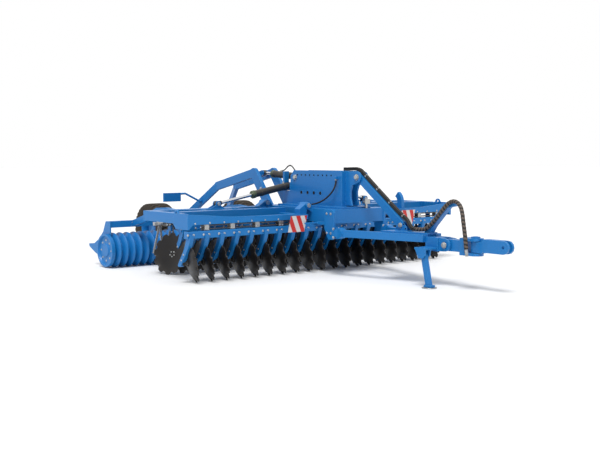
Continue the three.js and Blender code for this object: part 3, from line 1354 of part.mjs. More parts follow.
function restHorn() {
  const low = FRONT_BEAM_TOP + SEAT;
  const centre = [WING_FRONT_X - HORN.behind, low + HORN.rise];
  const outline = [
    [WING_FRONT_X - HORN.halfFoot, low],
    [WING_FRONT_X + HORN.halfFoot, low],
    ...arc(centre, HORN.outer, 10, 55, 4),
    ...arc(centre, HORN.inner, 60, 0, 4),
    [WING_FRONT_X - HORN.halfFoot + WELD, low + HORN.halfFoot],
  ];
  return plate('xz', outline, [HORN_Y - HORN.halfWidth, HORN_Y + HORN.halfWidth]);
}

// ---------------------------------------------------------------- hoses

// Feed hoses: over the tower's head, along the brace's upper face and down to the drawbar.
function feedHoses() {
  const slope = vector([BRACE_FOOT_X - EAR_PIN_X, 0, BRACE_FOOT_Z - EAR_PIN_Z]).normalize();
  const lift = BRACE_DEPTH / 2 + FEED_RADIUS + SEAT;
  const above = (distance, spare = 0) => [
    EAR_PIN_X + slope.x * distance - slope.z * (lift + spare),
    0,
    EAR_PIN_Z + slope.z * distance + slope.x * (lift + spare),
  ];
  const onTower = TOWER_TOP + FEED_RADIUS + SEAT;
  const [endX, endY, endZ] = BUNDLE_ROUTE[0];
  const route = [
    [TOWER_COLUMN_X + 10, 0, onTower + 1],
    [TOWER_COLUMN_X + 60, 0, onTower + 1],
    [TOWER_COLUMN_X + 160, 0, onTower + 4],
    [EAR_PIN_X - 90, 0, onTower + 5],
    [EAR_PIN_X, 0, onTower - 13],
    above(60, 4),
    above(250, 1),
    above(500, 1),
    above(750, 1),
    above(880, 4),
    above(980, 10),
    [endX - 190, endY + 46, endZ + 103],
    [endX - 115, endY + 16, endZ + 42],
    [endX - 40, endY, endZ],
    [endX - SEAT, endY, endZ],
  ];
  return hose(route, FEED_RADIUS, 26);
}

// The lift cylinder's hose: straight stubs at both port blocks and one wave of a cosine between them.
function archRoute() {
  const along = vector([SWING_APEX_X - LIFT_BARREL_X, 0, SWING_APEX_Z - LIFT_BARREL_Z]).normalize();
  const up = new THREE.Vector3(along.z, 0, -along.x);
  const base = vector([LIFT_BARREL_X, 0, LIFT_BARREL_Z]);
  const at = (distance, rise) =>
    base.clone().addScaledVector(along, distance).addScaledVector(up, ARCH_LINE + rise).toArray();
  const start = PORT_FOOT + PORT_SIZE / 2 + SEAT;
  const end = PORT_HEAD - PORT_SIZE / 2 - SEAT;
  const waveStart = start + ARCH_STUB;
  const waveLength = end - start - 2 * ARCH_STUB;
  const wave = Array.from({ length: ARCH_STEPS + 1 }, (_, i) => {
    const share = i / ARCH_STEPS;
    return at(waveStart + waveLength * share, (ARCH_RISE * (1 - Math.cos(2 * Math.PI * share))) / 2);
  });
  return [at(start, 0), ...wave, at(end, 0)];
}

function bundlePlugs() {
  const last = BUNDLE_ROUTE[BUNDLE_ROUTE.length - 1];
  const before = BUNDLE_ROUTE[BUNDLE_ROUTE.length - 2];
  const down = vector(last).sub(vector(before)).normalize();
  const from = vector(last).addScaledVector(down, SEAT);
  const to = from.clone().addScaledVector(down, PLUG_LENGTH);
  return bar(from.toArray(), to.toArray(), PLUG_RADIUS);
}

// ---------------------------------------------------------------- assembly

const harrow = new THREE.Group();
harrow.name = 'disc_harrow';
const frontEnd = TOW_HOLE_X + TOW_ARM_HALF_HEIGHT;
const rearEnd = AXLE_X - WHEEL_RADIUS;
harrow.position.x = -(frontEnd + rearEnd) / 2;

addNode(harrow, 'centre_frame', centreFrame(), bluePaint);
addNode(harrow, 'tower', tower(), bluePaint);
addNode(harrow, 'fold_pin_plate', foldPinPlate(), bluePaint);
addNode(harrow, 'drawbar_brace', drawbarBrace(), bluePaint);
addNode(harrow, 'drawbar_gusset', drawbarGusset(), bluePaint);
addNode(harrow, 'drawbar_nose', drawbarNose(), bluePaint);
addNode(harrow, 'hitch_head', hitchHead(), bluePaint);
addNode(harrow, 'tow_arm', towArm(), bluePaint);
addNode(harrow, 'stand_bracket', standBracket(), bluePaint);
addNode(harrow, 'stand_leg', standLeg(), bluePaint);
addNode(harrow, 'stand_foot', standFoot(), zincPlate);
addNode(harrow, 'hose_post', hosePost(), bluePaint);
addNode(harrow, 'control_valve', controlValve(), zincPlate);

addNode(harrow, 'swing_crosshead', swingCrosshead(), bluePaint);
addNode(harrow, 'axle_beam', axleBeam(), bluePaint);
addNode(harrow, 'lamp_board', lampBoard(RIGHT), bluePaint);
const liftFoot = [LIFT_BARREL_X, 0, LIFT_BARREL_Z];
const liftEye = [SWING_APEX_X, 0, SWING_APEX_Z];
const liftBarrel = cylinderBarrel(liftFoot, liftEye, LIFT_BARREL_END, UNIT_Y, 2 * (TOWER_PLATE_Y - RUNNING));
addNode(harrow, 'lift_barrel', liftBarrel, cylinderGrey);
addNode(harrow, 'lift_rod', cylinderRod(liftFoot, liftEye, LIFT_ROD_START, UNIT_Y), chrome);

const firstFrontY = DISC_PITCH / 2;
const wingTipFrontY = firstFrontY + (FRONT_DISCS_PER_WING - 1) * DISC_PITCH;
const hollowLeft = 1;
const hollowRight = -1;
const discRows = [
  ['front_disc_row_left', 0, firstFrontY, FRONT_DISCS_PER_WING, hollowLeft],
  ['front_disc_row_right', 0, -wingTipFrontY, FRONT_DISCS_PER_WING, hollowLeft],
  ['rear_disc_row_left', -ROW_SPACING, 0, REAR_DISCS_LEFT, hollowRight],
  ['rear_disc_row_right', -ROW_SPACING, -REAR_DISCS_RIGHT * DISC_PITCH, REAR_DISCS_RIGHT, hollowRight],
];
discRows.forEach(([name, x, firstY, count, facing]) =>
  addNode(harrow, name, discRow(x, firstY, count, facing), blackSteel),
);

[LEFT, RIGHT].forEach((side) => {
  const name = side === LEFT ? 'left' : 'right';
  addNode(harrow, `drawbar_beam_${name}`, drawbarBeam(side), bluePaint);
  addNode(harrow, `fold_pin_${name}`, foldPin(side), zincPlate);
  addNode(harrow, `swing_arm_${name}`, swingArm(side), bluePaint);
  addNode(harrow, `tyre_${name}`, tyre(side), tyreRubber);
  addNode(harrow, `rim_${name}`, rim(side), bluePaint);
  const foldFoot = [FOLD_X, side * FOLD_BARREL_Y, FOLD_BARREL_Z];
  const foldEye = [FOLD_X, side * FOLD_EYE_Y, FOLD_EYE_Z];
  const foldBarrel = cylinderBarrel(foldFoot, foldEye, FOLD_BARREL_END, UNIT_X, HINGE_EYE_LENGTH);
  addNode(harrow, `fold_barrel_${name}`, foldBarrel, cylinderGrey);
  addNode(harrow, `fold_rod_${name}`, cylinderRod(foldFoot, foldEye, FOLD_ROD_START, UNIT_X), chrome);

  const wing = new THREE.Group();
  wing.scale.y = side;
  harrow.add(wing);
  addNode(wing, `wing_frame_${name}`, wingFrame(), bluePaint);
  addNode(wing, `front_springs_${name}`, springRow(0), springSteel);
  addNode(wing, `rear_springs_${name}`, springRow(-ROW_SPACING), springSteel);
  addNode(wing, `tine_row_${name}`, tineRow(), tineSteel);
  addNode(wing, `roller_frame_${name}`, rollerFrame(), bluePaint);
  addNode(wing, `roller_${name}`, roller(), bluePaint);
  addNode(wing, `warning_board_${name}`, warningBoard(side === LEFT ? BOARD_LEFT_Y : BOARD_RIGHT_Y), boardSheet);
  if (side === LEFT) addNode(wing, 'rest_horn', restHorn(), bluePaint);
});

addNode(harrow, 'feed_hoses', feedHoses(), hoseRubber);
addNode(harrow, 'lift_hose', hose(archRoute(), ARCH_RADIUS, 24), hoseRubber);
addNode(harrow, 'side_hose', hose(SAG_ROUTE, SAG_RADIUS, 24), hoseRubber);
addNode(harrow, 'hose_bundle', hose(BUNDLE_ROUTE, BUNDLE_RADIUS, 26), hoseRubber);
addNode(harrow, 'hose_plugs', bundlePlugs(), zincPlate);

export default harrow;
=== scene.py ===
"""The visible model of a trailed disc harrow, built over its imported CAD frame. Metres, +X to the tractor."""

import json
import logging
import math
from dataclasses import dataclass
from enum import Enum

import bmesh
import bpy
import numpy as np
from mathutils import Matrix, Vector


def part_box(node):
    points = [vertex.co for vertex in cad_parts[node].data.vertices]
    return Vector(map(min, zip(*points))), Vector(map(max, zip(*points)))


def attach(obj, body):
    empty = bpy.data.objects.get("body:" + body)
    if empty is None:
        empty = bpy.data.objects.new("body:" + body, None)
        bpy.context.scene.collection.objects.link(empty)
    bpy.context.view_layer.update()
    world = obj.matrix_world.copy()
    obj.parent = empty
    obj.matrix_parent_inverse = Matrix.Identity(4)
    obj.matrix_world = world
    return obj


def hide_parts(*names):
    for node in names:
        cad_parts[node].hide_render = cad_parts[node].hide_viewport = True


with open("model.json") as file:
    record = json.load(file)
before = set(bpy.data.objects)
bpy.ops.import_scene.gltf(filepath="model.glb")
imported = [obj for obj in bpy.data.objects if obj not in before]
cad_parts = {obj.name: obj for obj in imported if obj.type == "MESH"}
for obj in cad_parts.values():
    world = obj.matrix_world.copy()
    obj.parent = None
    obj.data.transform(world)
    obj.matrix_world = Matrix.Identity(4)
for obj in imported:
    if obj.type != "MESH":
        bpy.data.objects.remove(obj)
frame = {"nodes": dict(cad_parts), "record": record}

Values = int | float | np.ndarray
LOG = logging.getLogger("disc_harrow")
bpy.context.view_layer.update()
BODY_OF = {node: body for body, nodes in frame["record"]["behaviour"]["bodies"].items() for node in nodes}
AXLE_X = -3.6
ORIGIN_X = sum(corner.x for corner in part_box("axle_beam")) / 2 - AXLE_X
SHARP_ANGLE = math.radians(32)
MERGE_DISTANCE = 1e-6
BROKEN_EDGE = 0.002
NEARLY_ONE = 0.99
RESTING_GAP = 0.0003
AXIS_X = np.array([1.0, 0.0, 0.0])
AXIS_Y = np.array([0.0, 1.0, 0.0])
AXIS_Z = np.array([0.0, 0.0, 1.0])
WASHER = np.array([(0, 0), (1.25, 0), (1.25, 0.2), (0, 0.2)])
BOLT_HEAD = np.array([(0, 0.2), (1, 0.2), (1, 0.7), (0.82, 0.85), (0, 0.85)])
LIFT_FOOT = (-0.6, 0.0, 1.4)
LIFT_EYE = (-1.62, 0.0, 1.455)
FOLD_FOOT = (-0.8, 0.12, 1.27)
FOLD_EYE = (-0.8, 1.5, 1.02)
HINGE_Y = 0.5
HINGE_Z = 1.0
BRACE_HEAD = (0.72, 1.42)
BRACE_FOOT = (1.6, 0.77)


class Side(Enum):
    """A side of the machine: the value is the sign of its y."""

    LEFT = 1
    RIGHT = -1

    @property
    def word(self) -> str:
        """The side's name as the CAD nodes spell it."""
        return self.name.lower()

    def place(self, x: float, y: float, z: float) -> np.ndarray:
        """A point on this side of the machine, y being its distance from the middle."""
        return machine(x, self.value * y, z)


def machine(x: float, y: float, z: float) -> np.ndarray:
    """A point of the CAD drawing, where x = 0 is the front disc row, as a point in the frame."""
    return np.array([x + ORIGIN_X, y, z])


# ---------------------------------------------------------------- finishes


@dataclass(frozen=True)
class Finish:
    """How a surface looks.

    Args:
        name: the material's name.
        color: its linear colour.
        worn: the colour at its edges: worn edges, and a painted edge highlight where it is lighter than color.
        roughness: the middle of its roughness.
        metallic: 0 to 1.
        coat: clear coat weight.
        grain: grains per metre.
        wear: how much of the edges is worn and carries the painted edge highlight, 0 to 1.
        dust: how much dust lies on it, 0 to 1.
        relief: height of the grain in metres.
        mottle: how much darker the grain's low spots are, 0 to 1.
        specular: strength of its plain reflection.
    """

    name: str
    color: tuple[float, float, float]
    worn: tuple[float, float, float]
    roughness: float = 0.45
    metallic: float = 0.0
    coat: float = 0.0
    grain: float = 60.0
    wear: float = 0.3
    dust: float = 0.1
    relief: float = 0.0004
    mottle: float = 0.22
    specular: float = 0.35


# The second colour of each finish paints its edges: worn edges, together with a painted edge highlight where
# it is lighter than the first colour.
BLUE = Finish("blue_paint", (0.004, 0.180, 0.520), (0.05, 0.34, 0.68), 0.42, 0.0, 0.12, 45.0, 0.45, 0.04)
DISC_BLACK = Finish("disc_black", (0.010, 0.010, 0.012), (0.16, 0.15, 0.14), 0.42, 0.35, 0.1, 70.0, 0.5, 0.10)
SPRING = Finish("spring_steel", (0.070, 0.074, 0.078), (0.45, 0.45, 0.45), 0.42, 0.5, 0.0, 80.0, 0.9, 0.08)
CHROME = Finish("chrome", (0.74, 0.75, 0.77), (0.60, 0.60, 0.60), 0.12, 1.0, 0.0, 120.0, 0.1, 0.02, 0.00005)
CYLINDER = Finish("cylinder_paint", (0.03, 0.029, 0.027), (0.16, 0.15, 0.14), 0.42, 0.2, 0.2, 60.0, 0.4, 0.1)
GLAND = Finish("gland_green", (0.10, 0.13, 0.08), (0.30, 0.32, 0.26), 0.40, 0.7, 0.0, 90.0, 0.3, 0.05)
RUBBER = Finish("tyre_rubber", (0.02, 0.016, 0.013), (0.06, 0.05, 0.04), 0.82, 0, 0, 90.0, 0.3, 0.22, 0.0008)
HOSE = Finish("hose_rubber", (0.010, 0.010, 0.010), (0.05, 0.05, 0.05), 0.55, 0.0, 0.0, 150.0, 0.2, 0.06)
WRAP = Finish("hose_wrap", (0.120, 0.090, 0.072), (0.20, 0.16, 0.13), 0.50, 0.0, 0.0, 150.0, 0.2, 0.06)
ZINC = Finish("zinc_plate", (0.50, 0.51, 0.50), (0.70, 0.70, 0.68), 0.32, 0.9, 0.0, 110.0, 0.3, 0.06, 0.0002)
TINE = Finish("tine_steel", (0.50, 0.51, 0.51), (0.75, 0.75, 0.75), 0.35, 0.35, 0.0, 100.0, 0.6, 0.05, 0.0003)
# Painted shade: a near-black disc stands for the shade inside a hole.
HOLE_SHADE = Finish("dark_hole", (0.004, 0.005, 0.007), (0.01, 0.01, 0.01), 0.90, 0.0, 0.0, 60.0, 0.0, 0.05)
BOARD = Finish("board_sheet", (0.80, 0.78, 0.76), (0.60, 0.60, 0.60), 0.40, 0.0, 0.1, 60.0, 0.3, 0.08)
FLOOR = Finish("floor", (0.88, 0.88, 0.88), (0.88, 0.88, 0.88), 0.80, 0.0, 0.0, 2.0, 0.0, 0.0, 0.0, 0.01)
FLOOR_CORNERS = ((-1, -1), (1, -1), (1, 1), (-1, 1))
DUST_COLOR = (0.28, 0.22, 0.16, 1.0)
STRIPE_RED = (0.62, 0.020, 0.015, 1.0)
STRIPE_PITCH = 0.155
STRIPE_FLATNESS = 0.62
STRIPE_SHARE = 0.5
EDGE_RADIUS = 0.006
EDGE_SAMPLES = 4
EDGE_GAIN = 9.0
FINE_DETAIL = 4.0
PATCH_SCALE = 0.08
PATCH_DETAIL = 6.0
PATCH_FLOOR = 0.2
LYING_DUST = 0.6
GRAIN_ROUGHNESS = 0.25


class NodeSheet:
    """A short way to add and join the nodes of one tree."""

    def __init__(self, tree: bpy.types.NodeTree) -> None:
        """Keeps the tree that the nodes go to."""
        self.tree = tree

    def add(self, kind: str, inputs: dict[str, object] | None = None, **settings: object) -> bpy.types.Node:
        """Adds a node.

        Args:
            kind: the node's type, without its ShaderNode prefix.
            inputs: a value or a joined socket for each named input.
            settings: the node's own settings.

        Returns:
            The new node.
        """
        prefix = "" if kind.startswith("Node") else "ShaderNode"
        node = self.tree.nodes.new(prefix + kind)
        for key, value in settings.items():
            setattr(node, key, value)
        for key, value in (inputs or {}).items():
            socket = node.inputs[int(key)] if key.isdigit() else node.inputs[key]
            if isinstance(value, bpy.types.NodeSocket):
                self.tree.links.new(value, socket)
            else:
                socket.default_value = value
        return node

    def math(self, operation: str, first: object, second: object = 0.0) -> bpy.types.NodeSocket:
        """The result of one operation on two values."""
        node = self.add("Math", {"0": first, "1": second}, operation=operation)
        return node.outputs[0]

    def blend(self, factor: object, first: object, second: object) -> bpy.types.NodeSocket:
        """A colour between two others."""
        node = self.add("Mix", data_type="RGBA")
        for socket, value in zip((node.inputs[0], node.inputs[6], node.inputs[7]), (factor, first, second)):
            if isinstance(value, bpy.types.NodeSocket):
                self.tree.links.new(value, socket)
            else:
                socket.default_value = value
        return node.outputs[2]


def wear_group() -> bpy.types.NodeTree:
    """The shared effect of all finishes: grain, worn edges with a painted edge highlight, dust and a normal
    with rounded edges.
    """
    group = bpy.data.node_groups.get("surface_wear")
    if group is not None:
        return group
    group = bpy.data.node_groups.new("surface_wear", "ShaderNodeTree")
    for name in ("Scale", "Wear", "Dust"):
        group.interface.new_socket(name=name, in_out="INPUT", socket_type="NodeSocketFloat")
    for name in ("Grain", "Edge", "Dirt", "Height"):
        group.interface.new_socket(name=name, in_out="OUTPUT", socket_type="NodeSocketFloat")
    group.interface.new_socket(name="Normal", in_out="OUTPUT", socket_type="NodeSocketVector")
    sheet = NodeSheet(group)
    given = sheet.add("NodeGroupInput")
    place = sheet.add("TexCoord").outputs["Object"]
    fine_noise = {"Vector": place, "Scale": given.outputs["Scale"], "Detail": FINE_DETAIL}
    fine = sheet.add("TexNoise", fine_noise).outputs["Fac"]
    patch_scale = sheet.math("MULTIPLY", given.outputs["Scale"], PATCH_SCALE)
    patch_noise = {"Vector": place, "Scale": patch_scale, "Detail": PATCH_DETAIL}
    patches = sheet.add("TexNoise", patch_noise).outputs["Fac"]
    normal = sheet.add("NewGeometry").outputs["Normal"]
    rounded = sheet.add("Bevel", {"Radius": EDGE_RADIUS}, samples=EDGE_SAMPLES).outputs["Normal"]
    facing = sheet.add("VectorMath", {"0": normal, "1": rounded}, operation="DOT_PRODUCT").outputs["Value"]
    # Edge mask from the bevel, in patches: worn edges together with a painted edge highlight.
    corner = sheet.math("MULTIPLY", sheet.math("SUBTRACT", 1.0, facing), EDGE_GAIN)
    patchy_wear_and_highlight = sheet.math("MULTIPLY", corner, sheet.math("ADD", patches, PATCH_FLOOR))
    edge = sheet.add("Clamp", {"Value": sheet.math("MULTIPLY", patchy_wear_and_highlight, given.outputs["Wear"])}).outputs[0]
    upward = sheet.add("SeparateXYZ", {"0": normal}).outputs["Z"]
    lying = sheet.math("MULTIPLY", sheet.add("Clamp", {"Value": upward}).outputs[0], LYING_DUST)
    speckle = sheet.math("MULTIPLY", sheet.math("ADD", lying, 1 - LYING_DUST), patches)
    dirt = sheet.add("Clamp", {"Value": sheet.math("MULTIPLY", speckle, given.outputs["Dust"])}).outputs[0]
    result = sheet.add("NodeGroupOutput")
    outputs = {"Grain": fine, "Edge": edge, "Dirt": dirt, "Height": fine, "Normal": rounded}
    for name, socket in outputs.items():
        group.links.new(socket, result.inputs[name])
    return group


def stripe_mask(sheet: NodeSheet) -> bpy.types.NodeSocket:
    """1 on the red stripes of a warning board, which slope down to the machine's left."""
    place = sheet.add("SeparateXYZ", {"0": sheet.add("TexCoord").outputs["Object"]})
    lowered = sheet.math("MULTIPLY", place.outputs["Z"], STRIPE_FLATNESS)
    slanted = sheet.math("ADD", lowered, place.outputs["Y"])
    share = sheet.math("FRACT", sheet.math("DIVIDE", slanted, STRIPE_PITCH))
    return sheet.math("GREATER_THAN", share, STRIPE_SHARE)


def material(finish: Finish, striped: bool = False) -> bpy.types.Material:
    """The material of a finish, made once.

    Args:
        finish: the look.
        striped: whether red stripes lie on it.

    Returns:
        The material.
    """
    name = finish.name + ("_striped" if striped else "")
    made = bpy.data.materials.get("look_" + name)
    if made is not None:
        return made
    made = bpy.data.materials.new("look_" + name)
    made.use_nodes = True
    made.node_tree.nodes.clear()
    sheet = NodeSheet(made.node_tree)
    wear = sheet.add("Group", node_tree=wear_group())
    for key, value in (("Scale", finish.grain), ("Wear", finish.wear), ("Dust", finish.dust)):
        wear.inputs[key].default_value = value
    plain = (*finish.color, 1.0)
    darker = (*((1 - finish.mottle) * channel for channel in finish.color), 1.0)
    base = sheet.blend(wear.outputs["Grain"], darker, plain)
    if striped:
        base = sheet.blend(stripe_mask(sheet), base, STRIPE_RED)
    # Worn edges and painted edge highlight: the edge mask mixes in the finish's edge colour.
    base = sheet.blend(wear.outputs["Edge"], base, (*finish.worn, 1.0))
    base = sheet.blend(wear.outputs["Dirt"], base, DUST_COLOR)
    spread = sheet.math("MULTIPLY", sheet.math("SUBTRACT", wear.outputs["Grain"], 0.5), GRAIN_ROUGHNESS)
    roughness = sheet.math("ADD", sheet.math("ADD", spread, finish.roughness), wear.outputs["Dirt"])
    relief = {"Height": wear.outputs["Height"], "Normal": wear.outputs["Normal"], "Distance": finish.relief}
    bump = sheet.add("Bump", relief)
    look = {"Base Color": base, "Roughness": roughness, "Normal": bump.outputs[0]}
    look |= {"Metallic": finish.metallic, "Coat Weight": finish.coat, "Specular IOR Level": finish.specular}
    shader = sheet.add("BsdfPrincipled", look)
    sheet.add("OutputMaterial", {"Surface": shader.outputs[0]})
    return made


# ---------------------------------------------------------------- meshes


def unit(vector: np.ndarray) -> np.ndarray:
    """The vector at length 1."""
    return vector / np.linalg.norm(vector)


def wrapped_quads(rows: int, columns: int) -> np.ndarray:
    """The four corners of each face of a grid whose last column meets its first."""
    row, column = np.meshgrid(np.arange(rows - 1), np.arange(columns), indexing="ij")
    this, after = row * columns, (row + 1) * columns
    turned = (column + 1) % columns
    corners = [this + column, this + turned, after + turned, after + column]
    return np.stack(corners, axis=-1).reshape(-1, 4)


def drum(low: float, high: float, radius: float, edge: float) -> np.ndarray:
    """The closed (radius, height) profile of a drum with broken edges."""
    lower = [(0, low), (radius - edge, low), (radius, low + edge)]
    return np.array([*lower, (radius, high - edge), (radius - edge, high), (0, high)])


class PartMesh:
    """The points, faces and finishes of one piece, gathered before the piece is made."""

    def __init__(self, *finishes: Finish) -> None:
        """Keeps the finishes that the faces refer to by number."""
        self.finishes = finishes
        self.points: list[np.ndarray] = []
        self.faces: list[list[int]] = []
        self.slots: list[int] = []
        self.count = 0

    def add(self, points: np.ndarray, faces: np.ndarray, slot: Values = 0) -> None:
        """Adds a grid of points with its faces.

        Args:
            points: the points, in any shape that ends in 3.
            faces: the point numbers of each face, all of one length.
            slot: the finish of all faces, or one number for each.
        """
        flat = np.asarray(points, float).reshape(-1, 3)
        self.faces.extend((np.asarray(faces) + self.count).tolist())
        self.slots.extend(np.broadcast_to(slot, len(faces)).tolist())
        self.points.append(flat)
        self.count += len(flat)

    def turned(
        self,
        profile: np.ndarray | list[tuple[float, float]],
        origin: np.ndarray,
        axis: np.ndarray,
        sides: int = 48,
        slot: int = 0,
    ) -> None:
        """Turns a profile about an axis: each of its (radius, height) points sweeps a circle.

        Args:
            profile: the points.
            origin: where the axis has height 0.
            axis: the axis's direction.
            sides: corners of each circle.
            slot: the finish.
        """
        along = unit(axis)
        start = AXIS_X if abs(along @ AXIS_Z) > NEARLY_ONE else AXIS_Z
        side = unit(start - along * (start @ along))
        angle = np.linspace(0, 2 * np.pi, sides, endpoint=False)
        circle = np.cos(angle)[:, None] * side + np.sin(angle)[:, None] * np.cross(along, side)
        shape = np.asarray(profile, float)
        points = origin + shape[:, 0, None, None] * circle[None] + shape[:, 1, None, None] * along
        self.add(points, wrapped_quads(len(shape), sides), slot)

    def rod(self, start: np.ndarray, end: np.ndarray, radius: float, sides: int = 32, slot: int = 0) -> None:
        """A round bar with broken edges between two points."""
        length = float(np.linalg.norm(end - start))
        self.turned(drum(0, length, radius, BROKEN_EDGE), start, end - start, sides, slot)

    def bolt(self, place: np.ndarray, axis: np.ndarray, size: float, slot: int = 0) -> None:
        """A hexagon head on a washer: size is the head's radius."""
        self.turned(WASHER * size, place, axis, 16, slot)
        self.turned(BOLT_HEAD * size, place, axis, 6, slot)

    def prism(self, outline: np.ndarray, low: float, high: float, slot: int = 0) -> None:
        """A plate: its (x, z) outline, swept along y from low to high."""
        base, corners = self.count, len(outline)
        points = np.stack([np.insert(np.asarray(outline, float), 1, y, axis=1) for y in (low, high)])
        self.add(points, wrapped_quads(2, corners), slot)
        for first in (base, base + corners):
            self.faces.append(list(range(first, first + corners)))
            self.slots.append(slot)

    def box(self, low: np.ndarray, high: np.ndarray, slot: int = 0, edge: float = 0.006) -> None:
        """A box between two corners, its four long edges broken along y."""
        x0, x1, z0, z1 = low[0], high[0], low[2], high[2]
        outline = [(x0 + edge, z0), (x1 - edge, z0), (x1, z0 + edge), (x1, z1 - edge)]
        outline += [(x1 - edge, z1), (x0 + edge, z1), (x0, z1 - edge), (x0, z0 + edge)]
        self.prism(outline, low[1], high[1], slot)

    def tube(self, path: np.ndarray, radius: Values, sides: int, slot: Values = 0) -> None:
        """Sweeps a circle along a path and closes both ends.

        Args:
            path: the centre line's points.
            radius: one radius, or one for each point of the path and side.
            sides: corners of the circle.
            slot: the finish, or one number for each face between two points of the path.
        """
        tangent = np.gradient(path, axis=0)
        side = np.cross(tangent, AXIS_Y)
        side /= np.linalg.norm(side, axis=1, keepdims=True)
        other = np.cross(side, tangent)
        other /= np.linalg.norm(other, axis=1, keepdims=True)
        angle = np.linspace(0, 2 * np.pi, sides, endpoint=False)
        wide = np.broadcast_to(radius, (len(path), sides))
        circle = np.cos(angle)[None, :, None] * side[:, None] + np.sin(angle)[None, :, None] * other[:, None]
        walls = path[:, None] + wide[:, :, None] * circle
        first, last = (np.repeat(end, sides, 1) for end in (path[:1, None], path[-1:, None]))
        closed = np.concatenate([first, walls, last])
        faces = wrapped_quads(len(closed), sides)
        chosen = np.zeros(len(faces), int)
        chosen[sides:-sides] = np.asarray(slot).reshape(-1) if np.ndim(slot) else slot
        self.add(closed, faces, chosen)

    def piece(self, name: str, node: str, stands_for: bool = True) -> bpy.types.Object:
        """Makes the piece.

        Args:
            name: its name.
            node: the CAD node on whose body it rides.
            stands_for: whether it takes the node's place.

        Returns:
            The new object, at the origin.
        """
        mesh = bpy.data.meshes.new(name)
        mesh.from_pydata(np.concatenate(self.points).tolist(), [], self.faces)
        for finish in self.finishes:
            mesh.materials.append(material(finish))
        mesh.polygons.foreach_set("material_index", self.slots)
        work = bmesh.new()
        work.from_mesh(mesh)
        bmesh.ops.remove_doubles(work, verts=work.verts, dist=MERGE_DISTANCE)
        bmesh.ops.recalc_face_normals(work, faces=work.faces)
        work.to_mesh(mesh)
        work.free()
        mesh.polygons.foreach_set("use_smooth", [True] * len(mesh.polygons))
        mesh.set_sharp_from_angle(angle=SHARP_ANGLE)
        made = bpy.data.objects.new(name, mesh)
        bpy.context.collection.objects.link(made)
        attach(made, BODY_OF[node])
        if stands_for:
            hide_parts(node)
        LOG.info("%s: %d faces", name, len(mesh.polygons))
        return made


# ---------------------------------------------------------------- disc rows


DISC_RINGS = np.array([0.0, 0.26, 0.45, 0.62, 0.76, 0.86, 0.93, 0.97, 1.0])
FLAT_SHARE = 0.26
NOTCHED_SHARE = 0.76
NOTCH_START = 0.1
NOTCH_EDGE = 0.5


